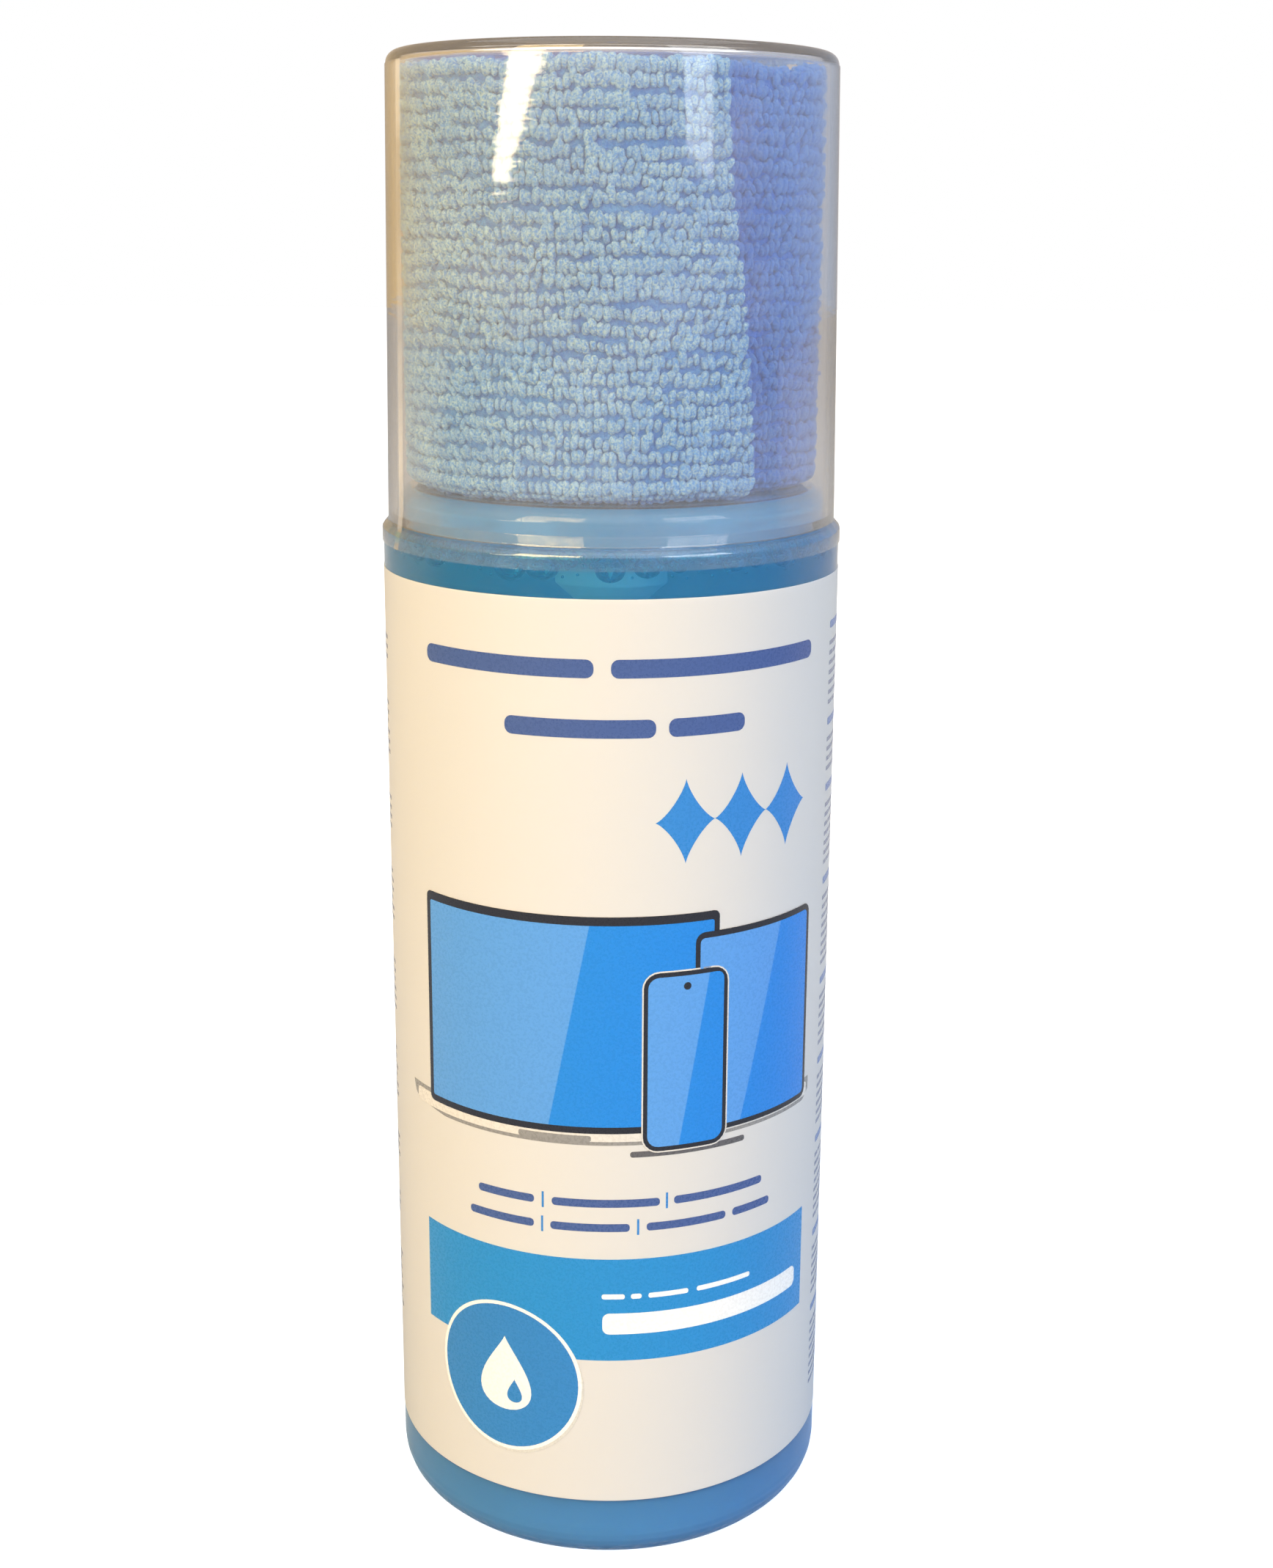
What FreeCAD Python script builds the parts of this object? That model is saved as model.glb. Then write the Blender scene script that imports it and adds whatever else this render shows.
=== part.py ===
import FreeCAD, Part

import math
import os

import Sketcher

# A pump spray bottle of blue cleaning liquid with a wrap label.  A clear overcap stands on the
# bottle's shoulder, and a folded cleaning cloth is rolled round the hidden pump inside it.
#
# Millimetres.  +Z is up, the origin is the centre of the base, and the label's front and the
# nozzle face -Y.  Each DIMENSIONS row is: alias in the sheet, value, what it measures.

DIMENSIONS = (
    # bottle
    ("bottle_radius", 29.75, "outer radius of the bottle's body"),
    ("bottle_wall", 0.45, "blown wall"),
    ("base_wall", 0.8, "wall under the liquid"),
    ("base_fillet", 5.9, "outer radius of the bottom edge"),
    ("ring_radius", 20.0, "inner radius of the flat ring that the bottle stands on"),
    ("push_up", 3.5, "height of the domed middle of the base"),
    ("ledge_level", 136.8, "ledge that the overcap stands over"),
    ("ledge_fillet", 1.2, "rounding of the body's top edge"),
    ("spigot_radius", 27.75, "raised shoulder that centres the overcap"),
    ("spigot_fillet", 2.0, "rounding of the spigot's top edge"),
    ("shoulder_level", 141.5, "height of the shoulder at its rim"),
    ("shoulder_rise", 0.7, "rise of the shoulder from its rim to the neck"),
    ("neck_fillet", 1.5, "rounding between shoulder and neck"),
    ("neck_radius", 10.9, "outer radius of the neck"),
    ("neck_bore", 9.0, "inner radius of the neck"),
    ("neck_top", 160.0, "lip of the neck"),
    ("support_radius", 13.4, "transfer ring of the neck"),
    ("support_level", 145.3, "underside of the transfer ring"),
    ("support_thickness", 1.4, "thickness of the transfer ring"),
    # screw thread shared by neck and closure
    ("thread_pitch", 3.175, "rise in one turn"),
    ("thread_turns", 1.5, "turns of each ridge"),
    ("thread_start", 151.0, "middle of the neck's ridge where it starts"),
    ("thread_crest", 0.35, "half width of a ridge at its crest"),
    ("thread_foot", 0.85, "half width of a ridge at its foot"),
    ("thread_root", 0.2, "how far a ridge's foot is sunk into its wall"),
    ("neck_crest", 11.95, "crest radius of the neck's ridge"),
    ("closure_crest", 11.25, "crest radius of the closure's ridge"),
    # label and liquid
    ("label_bottom", 9.8, "lower edge of the label"),
    ("label_top", 131.1, "upper edge of the label"),
    ("label_thickness", 0.1, "film label"),
    ("label_gap", 0.02, "glue line under the label"),
    ("liquid_gap", 0.05, "gap round the liquid"),
    # closure and gasket
    ("closure_radius", 14.0, "outer radius of the screw closure"),
    ("closure_bottom", 147.4, "lower edge of the closure"),
    ("closure_top", 163.2, "top of the closure"),
    ("closure_panel", 1.4, "thickness of the closure's top panel"),
    ("closure_inner", 12.45, "inner radius of the closure's skirt"),
    ("closure_hole", 7.2, "hole in the closure's top panel"),
    ("closure_edge", 0.8, "rounding of the closure's top edge"),
    ("rib_radius", 0.45, "radius of one grip rib"),
    ("rib_sink", 0.15, "how far a rib's centre lies inside the skirt"),
    ("rib_bottom", 148.2, "lower end of the grip ribs"),
    ("rib_length", 13.2, "length of the grip ribs"),
    ("rib_count", 48.0, "number of grip ribs"),
    ("gasket_inner", 9.2, "inner radius of the neck gasket"),
    ("gasket_thickness", 0.96, "thickness of the neck gasket"),
    ("seat_gap", 0.02, "gap between flat faces that rest on each other"),
    # pump housing
    ("flange_radius", 11.0, "flange clamped between neck and closure"),
    ("flange_bottom", 161.0, "underside of the housing's flange"),
    ("flange_thickness", 0.7, "thickness of the housing's flange"),
    ("housing_radius", 5.5, "outer radius of the pump cylinder"),
    ("housing_bore", 4.5, "bore of the pump cylinder"),
    ("housing_foot", 128.2, "lower end of the full cylinder"),
    ("shelf_level", 129.7, "shelf that carries the return spring"),
    ("seat_mouth", 2.2, "upper radius of the ball's conical seat"),
    ("seat_hole", 0.9, "inlet hole under the ball"),
    ("socket_radius", 3.2, "outer radius of the dip tube socket"),
    ("socket_bore", 2.05, "bore of the dip tube socket"),
    ("socket_bottom", 118.0, "lower end of the dip tube socket"),
    ("socket_top", 126.0, "upper end of the dip tube socket"),
    ("cage_inner", 2.3, "inner face of the ball cage's posts"),
    ("cage_outer", 3.0, "outer face of the ball cage's posts"),
    ("cage_nib", 1.1, "inner end of the nibs that hold the ball down"),
    ("cage_nib_level", 131.6, "underside of the nibs"),
    ("cage_top", 132.2, "top of the ball cage"),
    ("cage_sink", 0.2, "how far the posts are sunk into the shelf"),
    ("cage_width", 0.8, "width of a post"),
    ("cage_count", 3.0, "number of posts"),
    # moving pump parts
    ("ball_radius", 1.5, "inlet ball"),
    ("ball_level", 129.65, "centre of the ball on its seat"),
    ("tube_radius", 2.0, "outer radius of the dip tube"),
    ("tube_bore", 1.25, "bore of the dip tube"),
    ("tube_bottom", 5.5, "lower end of the dip tube"),
    ("tube_top", 125.8, "upper end of the dip tube"),
    ("stem_radius", 2.0, "outer radius of the hollow stem"),
    ("stem_bore", 1.0, "bore of the hollow stem"),
    ("stem_bottom", 147.3, "lower end of the stem"),
    ("stem_top", 174.9, "upper end of the stem"),
    ("collar_radius", 3.4, "stop collar of the stem"),
    ("collar_bottom", 154.2, "underside of the stop collar"),
    ("collar_top", 155.4, "top of the stop collar"),
    ("guide_bottom", 155.5, "lower end of the stem guide"),
    ("guide_radius", 4.45, "stem guide inside the cylinder"),
    ("guide_hole", 2.1, "hole of the stem guide"),
    ("guide_wall", 1.0, "wall of the stem guide"),
    ("guide_roof", 1.2, "roof of the stem guide"),
    ("guide_rim_radius", 6.6, "rim of the stem guide on the flange"),
    ("guide_rim_level", 161.75, "underside of the stem guide's rim"),
    ("guide_rim_top", 163.0, "top of the stem guide's rim"),
    ("guide_top", 164.5, "top of the stem guide"),
    ("piston_radius", 4.45, "sealing lips of the piston"),
    ("piston_hub_bore", 2.04, "bore of the piston's hub"),
    ("piston_hub", 2.9, "outer radius of the piston's hub"),
    ("piston_lip", 3.6, "inner radius of the piston's lips"),
    ("piston_bottom", 147.25, "lower end of the piston"),
    ("piston_top", 151.2, "upper end of the piston"),
    ("piston_web_bottom", 148.8, "underside of the piston's web"),
    ("piston_web_top", 149.7, "top of the piston's web"),
    ("core_head_radius", 3.95, "head of the stem core, above the return spring"),
    ("core_bottom", 145.0, "underside of the stem core"),
    ("core_head_top", 146.2, "top of the stem core's head"),
    ("core_cone_radius", 3.0, "foot of the sealing cone"),
    ("core_cone_top", 147.2, "top of the sealing cone"),
    ("core_cone_tip", 1.9, "upper radius of the sealing cone"),
    ("core_pin_radius", 0.95, "pin pressed into the stem"),
    ("core_pin_top", 153.0, "upper end of the pin"),
    ("return_wire", 0.3, "wire radius of the return spring"),
    ("return_radius", 3.45, "mean radius of the return spring"),
    ("return_turns", 6.5, "turns of the return spring"),
    ("valve_wire", 0.2, "wire radius of the valve spring"),
    ("valve_radius", 2.6, "mean radius of the valve spring"),
    ("valve_turns", 3.0, "turns of the valve spring"),
    # spray head
    ("head_radius", 9.4, "outer radius of the spray head"),
    ("head_bottom", 170.2, "lower edge of the spray head's skirt"),
    ("head_top", 184.0, "finger rest's rim"),
    ("head_edge", 1.4, "rounding of the finger rest's rim"),
    ("head_dish", 1.4, "depth of the finger rest"),
    ("head_skirt", 8.3, "inner radius of the skirt"),
    ("head_ceiling", 176.2, "inner ceiling of the spray head"),
    ("head_hub", 3.4, "outer radius of the hub"),
    ("head_hub_bottom", 171.2, "lower end of the hub"),
    ("head_socket", 2.05, "socket for the stem"),
    ("head_socket_top", 175.2, "end of the socket"),
    ("riser_radius", 0.8, "upright channel"),
    ("riser_top", 179.8, "closed end of the upright channel"),
    ("nozzle_level", 179.2, "height of the nozzle"),
    ("nozzle_pocket", 2.4, "radius of the nozzle's pocket"),
    ("nozzle_floor", 6.4, "distance of the pocket's floor from the axis"),
    ("cross_radius", 0.5, "cross channel to the nozzle"),
    ("nozzle_radius", 2.37, "outer radius of the nozzle insert"),
    ("nozzle_back", 6.45, "distance of the insert's back from the axis"),
    ("nozzle_front", 9.25, "distance of the insert's front from the axis"),
    ("nozzle_swirl", 1.2, "swirl chamber"),
    ("nozzle_swirl_end", 8.4, "front wall of the swirl chamber"),
    ("nozzle_orifice", 0.25, "orifice"),
    ("nozzle_cone", 1.1, "mouth of the countersink round the orifice"),
    ("nozzle_cone_depth", 0.5, "depth of the countersink"),
    # overcap, film and cloth
    ("cap_rim", 137.05, "lower edge of the overcap"),
    ("cap_top", 194.6, "top of the overcap"),
    ("cap_rim_radius", 29.0, "outer radius at the rim"),
    ("cap_top_radius", 28.13, "outer radius at the top"),
    ("cap_wall", 1.0, "wall of the overcap"),
    ("cap_roof", 1.2, "roof of the overcap"),
    ("cap_edge", 1.5, "rounding of the top edge"),
    ("cap_inner_edge", 0.6, "rounding inside the top edge"),
    ("cap_lead", 0.5, "width of the lead-in chamfer"),
    ("cap_lead_height", 1.2, "height of the lead-in chamfer"),
    ("film_thickness", 0.06, "clear shrink film"),
    ("film_gap", 0.04, "gap under the film on the overcap"),
    ("film_bottom", 134.4, "lower edge of the film"),
    ("film_body_gap", 0.1, "gap under the film on the bottle"),
    ("film_neck", 136.4, "where the film leaves the bottle's side"),
    ("film_meets_cap", 138.2, "where the film reaches the overcap"),
    ("film_top", 193.0, "upper edge of the film"),
    ("cloth_inner", 17.2, "inner radius of the rolled cloth"),
    ("cloth_outer", 26.8, "outer radius of the rolled cloth"),
    ("cloth_bottom", 142.7, "lower edge of the cloth"),
    ("cloth_top", 192.5, "upper edge of the cloth"),
    ("cloth_edge", 1.6, "rounding of the rolled cloth's edges"),
)

DOC = FreeCAD.newDocument("CleaningSpray")
SHEET = DOC.addObject("Spreadsheet::Sheet", "Dimensions")
NODES = []

FULL_TURN = 360.0
START, END = 1, 2
ORIGIN_POINT = (-1, 1)
H_AXIS, V_AXIS = -1, -2


class Size:
    """A number together with the sheet expression that drives it."""

    def __init__(self, number, text):
        self.number = number
        self.text = text

    def __add__(self, other):
        return Size(self.number + other.number, f"({self.text} + {other.text})")

    def __sub__(self, other):
        return Size(self.number - other.number, f"({self.text} - {other.text})")

    def __mul__(self, other):
        return Size(self.number * other.number, f"({self.text} * {other.text})")

    def __truediv__(self, other):
        return Size(self.number / other.number, f"({self.text} / {other.text})")


class Sizes:
    """The sheet's rows as attributes, each one a Size."""


ZERO = Size(0.0, "0")
HALF = Size(0.5, "0.5")
TWO = Size(2.0, "2")
D = Sizes()


def fill_sheet():
    """Write the driving dimensions to the sheet and give each one a Size of the same name."""
    for row, (alias, value, note) in enumerate(DIMENSIONS, start=1):
        SHEET.set(f"A{row}", note)
        SHEET.set(f"B{row}", str(value))
        SHEET.setAlias(f"B{row}", alias)
        setattr(D, alias, Size(value, f"Dimensions.{alias}"))
    DOC.recompute()


def new_body(label):
    """An empty body that becomes one node."""
    body = DOC.addObject("PartDesign::Body", label)
    body.Label = label
    NODES.append(body)
    return body


def new_sketch(body, name, role):
    """A sketch on one of the body's own origin planes."""
    plane = next(item for item in body.Origin.OriginFeatures if item.Role == role)
    sketch = body.newObject("Sketcher::SketchObject", name)
    sketch.AttachmentSupport = [(plane, "")]
    sketch.MapMode = "FlatFace"
    return sketch


def place_point(sketch, geometry, point, across, up):
    """Fix one point of a sketch by its two distances from the origin."""
    for kind, size, axis in (("DistanceX", across, V_AXIS), ("DistanceY", up, H_AXIS)):
        if size is ZERO:
            sketch.addConstraint(Sketcher.Constraint("PointOnObject", geometry, point, axis))
        else:
            fixed = Sketcher.Constraint(kind, *ORIGIN_POINT, geometry, point, size.number)
            index = sketch.addConstraint(fixed)
            sketch.setExpression(f"Constraints[{index}]", size.text)


def add_side(sketch, start, end, bend):
    """One side of an outline.  bend is None for a line, or (radius, side) for an arc that bulges
    to the left (+1) or right (-1) of the way from start to end.  Returns which of the new
    curve's ends lies at start and which at end."""
    a = FreeCAD.Vector(start[0].number, start[1].number, 0)
    b = FreeCAD.Vector(end[0].number, end[1].number, 0)
    if bend is None:
        sketch.addGeometry(Part.LineSegment(a, b))
        return START, END
    radius, side = bend
    chord = b - a
    left = FreeCAD.Vector(-chord.y, chord.x, 0).normalize()
    drop = math.sqrt(radius.number ** 2 - (chord.Length / 2) ** 2)
    centre = (a + b) / 2 - left * side * drop
    first, last = (a, b) if side < 0 else (b, a)
    angles = [math.atan2(p.y - centre.y, p.x - centre.x) for p in (first, last)]
    if angles[1] < angles[0]:
        angles[1] += 2 * math.pi
    circle = Part.Circle(centre, FreeCAD.Vector(0, 0, 1), radius.number)
    index = sketch.addGeometry(Part.ArcOfCircle(circle, *angles))
    fixed = sketch.addConstraint(Sketcher.Constraint("Radius", index, radius.number))
    sketch.setExpression(f"Constraints[{fixed}]", radius.text)
    return (START, END) if side < 0 else (END, START)


def outline(body, name, role, corners):
    """A closed, fully constrained sketch.  Each corner is (across, up) or (across, up, bend),
    where bend describes the side that leaves the corner."""
    sketch = new_sketch(body, name, role)
    count = len(corners)
    ends = []
    for index, corner in enumerate(corners):
        bend = corner[2] if len(corner) > 2 else None
        ends.append(add_side(sketch, corner, corners[(index + 1) % count], bend))
    for index, corner in enumerate(corners):
        after = (index + 1) % count
        sketch.addConstraint(
            Sketcher.Constraint("Coincident", index, ends[index][1], after, ends[after][0])
        )
        place_point(sketch, index, ends[index][0], corner[0], corner[1])
    DOC.recompute()
    return sketch


def circle_sketch(body, name, role, across, up, radius):
    """A sketch that holds one circle."""
    sketch = new_sketch(body, name, role)
    centre = FreeCAD.Vector(across.number, up.number, 0)
    index = sketch.addGeometry(Part.Circle(centre, FreeCAD.Vector(0, 0, 1), radius.number))
    middle_point = 3
    place_point(sketch, index, middle_point, across, up)
    fixed = sketch.addConstraint(Sketcher.Constraint("Radius", index, radius.number))
    sketch.setExpression(f"Constraints[{fixed}]", radius.text)
    DOC.recompute()
    return sketch


def turned(label, corners, role="XZ_Plane"):
    """A body turned about the sketch's upright axis."""
    body = new_body(label)
    sketch = outline(body, label + "_outline", role, corners)
    turn = body.newObject("PartDesign::Revolution", label + "_turn")
    turn.Profile = sketch
    turn.ReferenceAxis = (sketch, ["V_Axis"])
    turn.Angle = FULL_TURN
    sketch.Visibility = False
    DOC.recompute()
    return body


def add_helix(body, sketch, name, sizes, mode):
    """Sweep a profile along a right-hand helix about the body's upright axis."""
    helix = body.newObject("PartDesign::AdditiveHelix", name)
    helix.Profile = sketch
    helix.ReferenceAxis = (sketch, ["V_Axis"])
    helix.Mode = mode
    helix.LeftHanded = False
    for setting, size in sizes.items():
        helix.setExpression(setting, size.text)
    DOC.recompute()


def add_thread(body, name, middle, foot, crest):
    """A trapezoid ridge that winds round the body from the height called middle."""
    corners = (
        (foot, middle - D.thread_foot),
        (crest, middle - D.thread_crest),
        (crest, middle + D.thread_crest),
        (foot, middle + D.thread_foot),
    )
    sketch = outline(body, name + "_profile", "XZ_Plane", corners)
    sizes = {"Pitch": D.thread_pitch, "Turns": D.thread_turns}
    add_helix(body, sketch, name, sizes, "pitch-turns-angle")


def coil(label, radius, wire, bottom, top, turns):
    """A round-wire spring whose ends rest just clear of the heights bottom and top."""
    body = new_body(label)
    start = bottom + wire + D.seat_gap
    height = top - wire - D.seat_gap - start
    sketch = circle_sketch(body, label + "_wire", "XZ_Plane", radius, start, wire)
    add_helix(body, sketch, label + "_helix", {"Height": height, "Turns": turns}, "height-turns-angle")
    return body


def repeat_round(body, feature, sketch, axis, name, count):
    """Repeat a feature evenly round one of its sketch's axes."""
    pattern = body.newObject("PartDesign::PolarPattern", name)
    pattern.Originals = [feature]
    pattern.Axis = (sketch, [axis])
    pattern.Angle = FULL_TURN
    pattern.setExpression("Occurrences", count.text)
    body.Tip = pattern
    DOC.recompute()


def dome_radius(half_width, height):
    """Radius of a shallow dome from its half width and height."""
    return (half_width * half_width + height * height) / (height * TWO)


def make_bottle():
    """Blown bottle: domed base, spigot for the overcap, flat shoulder and threaded neck."""
    inner = D.bottle_radius - D.bottle_wall
    ring_outer = D.bottle_radius - D.base_fillet
    inner_fillet = D.base_fillet - D.bottle_wall
    ledge_start = D.bottle_radius - D.ledge_fillet
    spigot_edge = D.spigot_radius - D.spigot_fillet
    spigot_top = D.shoulder_level - D.spigot_fillet
    shoulder_top = D.shoulder_level + D.shoulder_rise
    under_shoulder = D.shoulder_level - D.bottle_wall
    under_neck = shoulder_top - D.bottle_wall
    support_top = D.support_level + D.support_thickness
    dome = dome_radius(D.ring_radius, D.push_up)
    corners = (
        (ZERO, D.push_up, (dome, 1)),
        (D.ring_radius, ZERO),
        (ring_outer, ZERO, (D.base_fillet, -1)),
        (D.bottle_radius, D.base_fillet),
        (D.bottle_radius, D.ledge_level - D.ledge_fillet, (D.ledge_fillet, -1)),
        (ledge_start, D.ledge_level),
        (D.spigot_radius, D.ledge_level),
        (D.spigot_radius, spigot_top, (D.spigot_fillet, -1)),
        (spigot_edge, D.shoulder_level),
        (D.neck_radius + D.neck_fillet, shoulder_top, (D.neck_fillet, 1)),
        (D.neck_radius, shoulder_top + D.neck_fillet),
        (D.neck_radius, D.support_level),
        (D.support_radius, D.support_level),
        (D.support_radius, support_top),
        (D.neck_radius, support_top),
        (D.neck_radius, D.neck_top),
        (D.neck_bore, D.neck_top),
        (D.neck_bore, under_neck + D.neck_fillet, (D.neck_fillet, -1)),
        (D.neck_bore + D.neck_fillet, under_neck),
        (spigot_edge, under_shoulder, (D.spigot_fillet - D.bottle_wall, 1)),
        (D.spigot_radius - D.bottle_wall, spigot_top),
        (D.spigot_radius - D.bottle_wall, D.ledge_level - D.bottle_wall),
        (ledge_start, D.ledge_level - D.bottle_wall, (D.ledge_fillet - D.bottle_wall, 1)),
        (inner, D.ledge_level - D.ledge_fillet),
        (inner, D.base_wall + inner_fillet, (inner_fillet, 1)),
        (ring_outer, D.base_wall),
        (D.ring_radius, D.base_wall, (dome, -1)),
        (ZERO, D.base_wall + D.push_up),
    )
    body = turned("bottle", corners)
    foot = D.neck_radius - D.thread_root
    add_thread(body, "neck_thread", D.thread_start, foot, D.neck_crest)


def make_label():
    """Film label wrapped round the bottle."""
    inner = D.bottle_radius + D.label_gap
    outer = inner + D.label_thickness
    corners = (
        (inner, D.label_bottom),
        (outer, D.label_bottom),
        (outer, D.label_top),
        (inner, D.label_top),
    )
    turned("wrap_label", corners)


def make_liquid():
    """The liquid fills the bottle up to its shoulder and leaves room for the pump."""
    gap = D.liquid_gap
    outer = D.bottle_radius - D.bottle_wall - gap
    ring_outer = D.bottle_radius - D.base_fillet
    fillet = outer - ring_outer
    floor = D.base_wall + gap
    ledge_start = D.bottle_radius - D.ledge_fillet
    under_ledge = D.ledge_level - D.bottle_wall - gap
    throat = D.spigot_radius - D.bottle_wall - gap
    spigot_edge = D.spigot_radius - D.spigot_fillet
    level = D.shoulder_level - D.bottle_wall - gap
    room = gap + gap
    step = D.housing_foot - (D.seat_mouth - D.seat_hole) - room
    dome = dome_radius(D.ring_radius, D.push_up)
    corners = (
        (ZERO, floor + D.push_up, (dome, 1)),
        (D.ring_radius, floor),
        (ring_outer, floor, (fillet, -1)),
        (outer, floor + fillet),
        (outer, D.ledge_level - D.ledge_fillet, (outer - ledge_start, -1)),
        (ledge_start, under_ledge),
        (throat, under_ledge),
        (throat, D.shoulder_level - D.spigot_fillet, (throat - spigot_edge, -1)),
        (spigot_edge, level),
        (D.housing_radius + room, level),
        (D.housing_radius + room, step),
        (D.socket_radius + room, step),
        (D.socket_radius + room, D.socket_bottom - room),
        (D.tube_radius + room, D.socket_bottom - room),
        (D.tube_radius + room, D.tube_bottom - room),
        (ZERO, D.tube_bottom - room),
    )
    turned("cleaning_liquid", corners)


def make_closure():
    """Screw closure with an inner thread and grip ribs."""
    edge = D.closure_radius - D.closure_edge
    panel = D.closure_top - D.closure_panel
    corners = (
        (D.closure_inner, D.closure_bottom),
        (D.closure_radius, D.closure_bottom),
        (D.closure_radius, D.closure_top - D.closure_edge, (D.closure_edge, -1)),
        (edge, D.closure_top),
        (D.closure_hole, D.closure_top),
        (D.closure_hole, panel),
        (D.closure_inner, panel),
    )
    body = turned("closure", corners)
    across = D.closure_radius - D.rib_sink
    sketch = circle_sketch(body, "rib_profile", "XY_Plane", across, ZERO, D.rib_radius)
    sketch.setExpression("AttachmentOffset.Base.z", D.rib_bottom.text)
    rib = body.newObject("PartDesign::Pad", "rib")
    rib.Profile = sketch
    rib.setExpression("Length", D.rib_length.text)
    DOC.recompute()
    repeat_round(body, rib, sketch, "N_Axis", "ribs", D.rib_count)
    middle = D.thread_start - D.thread_pitch * HALF
    foot = D.closure_inner + D.thread_root
    add_thread(body, "closure_thread", middle, foot, D.closure_crest)


def make_gasket():
    """Flat ring between the neck's lip and the pump's flange."""
    disc = DOC.addObject("Part::Cylinder", "gasket_disc")
    disc.setExpression("Radius", D.neck_radius.text)
    disc.setExpression("Height", D.gasket_thickness.text)
    hole = DOC.addObject("Part::Cylinder", "gasket_hole")
    hole.setExpression("Radius", D.gasket_inner.text)
    hole.setExpression("Height", D.gasket_thickness.text)
    gasket = DOC.addObject("Part::Cut", "neck_gasket")
    gasket.Label = "neck_gasket"
    gasket.Base = disc
    gasket.Tool = hole
    gasket.setExpression("Placement.Base.z", (D.neck_top + D.seat_gap).text)
    NODES.append(gasket)


def make_housing():
    """Pump cylinder with its flange, ball seat, dip tube socket and ball cage."""
    flange_top = D.flange_bottom + D.flange_thickness
    cone = D.seat_mouth - D.seat_hole
    corners = (
        (D.socket_bore, D.socket_bottom),
        (D.socket_radius, D.socket_bottom),
        (D.socket_radius, D.housing_foot - cone),
        (D.housing_radius, D.housing_foot + cone),
        (D.housing_radius, D.flange_bottom),
        (D.flange_radius, D.flange_bottom),
        (D.flange_radius, flange_top),
        (D.housing_bore, flange_top),
        (D.housing_bore, D.shelf_level),
        (D.seat_mouth, D.shelf_level),
        (D.seat_hole, D.shelf_level - cone),
        (D.seat_hole, D.socket_top),
        (D.socket_bore, D.socket_top),
    )
    body = turned("pump_housing", corners)
    cage = (
        (D.cage_inner, D.shelf_level - D.cage_sink),
        (D.cage_outer, D.shelf_level - D.cage_sink),
        (D.cage_outer, D.cage_top),
        (D.cage_nib, D.cage_top),
        (D.cage_nib, D.cage_nib_level),
        (D.cage_inner, D.cage_nib_level),
    )
    sketch = outline(body, "cage_profile", "XZ_Plane", cage)
    post = body.newObject("PartDesign::Pad", "cage_post")
    post.Profile = sketch
    post.Midplane = True
    post.setExpression("Length", D.cage_width.text)
    DOC.recompute()
    repeat_round(body, post, sketch, "V_Axis", "cage_posts", D.cage_count)


def make_stem_guide():
    """Guide that closes the cylinder round the stem and stops its collar."""
    inner = D.guide_radius - D.guide_wall
    boss = D.guide_hole + D.guide_wall
    under_roof = D.guide_rim_top - D.guide_roof
    corners = (
        (D.guide_hole, D.guide_bottom),
        (D.guide_radius, D.guide_bottom),
        (D.guide_radius, D.guide_rim_level),
        (D.guide_rim_radius, D.guide_rim_level),
        (D.guide_rim_radius, D.guide_rim_top),
        (boss, D.guide_rim_top),
        (boss, D.guide_top),
        (D.guide_hole, D.guide_top),
        (D.guide_hole, under_roof),
        (inner, under_roof),
        (inner, D.guide_bottom + D.guide_roof),
        (D.guide_hole, D.guide_bottom + D.guide_roof),
    )
    turned("stem_guide", corners)


def make_dip_tube():
    """Straight tube from the pump down to the base."""
    corners = (
        (D.tube_bore, D.tube_bottom),
        (D.tube_radius, D.tube_bottom),
        (D.tube_radius, D.tube_top),
        (D.tube_bore, D.tube_top),
    )
    turned("dip_tube", corners)


def make_ball():
    """Inlet ball on its conical seat."""
    ball = DOC.addObject("Part::Sphere", "inlet_ball")
    ball.Label = "inlet_ball"
    ball.setExpression("Radius", D.ball_radius.text)
    ball.setExpression("Placement.Base.z", D.ball_level.text)
    NODES.append(ball)


def make_stem():
    """Hollow stem with its stop collar."""
    corners = (
        (D.stem_bore, D.stem_bottom),
        (D.stem_radius, D.stem_bottom),
        (D.stem_radius, D.collar_bottom),
        (D.collar_radius, D.collar_bottom),
        (D.collar_radius, D.collar_top),
        (D.stem_radius, D.collar_top),
        (D.stem_radius, D.stem_top),
        (D.stem_bore, D.stem_top),
    )
    turned("stem", corners)


def make_stem_core():
    """Core under the stem: head for the return spring, sealing cone and pin."""
    corners = (
        (ZERO, D.core_bottom),
        (D.core_head_radius, D.core_bottom),
        (D.core_head_radius, D.core_head_top),
        (D.core_cone_radius, D.core_head_top),
        (D.core_cone_tip, D.core_cone_top),
        (D.core_pin_radius, D.core_cone_top),
        (D.core_pin_radius, D.core_pin_top),
        (ZERO, D.core_pin_top),
    )
    turned("stem_core", corners)


def make_piston():
    """Piston with a hub on the stem, a web and two sealing lips."""
    corners = (
        (D.piston_hub_bore, D.piston_bottom),
        (D.piston_hub, D.piston_bottom),
        (D.piston_hub, D.piston_web_bottom),
        (D.piston_lip, D.piston_web_bottom),
        (D.piston_radius, D.piston_bottom),
        (D.piston_radius, D.piston_top),
        (D.piston_lip, D.piston_web_top),
        (D.piston_hub, D.piston_web_top),
        (D.piston_hub, D.piston_top),
        (D.piston_hub_bore, D.piston_top),
    )
    turned("piston", corners)


def make_springs():
    """Return spring under the stem core, and valve spring between piston and collar."""
    coil("return_spring", D.return_radius, D.return_wire, D.shelf_level, D.core_bottom, D.return_turns)
    coil("valve_spring", D.valve_radius, D.valve_wire, D.piston_top, D.collar_bottom, D.valve_turns)


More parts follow.
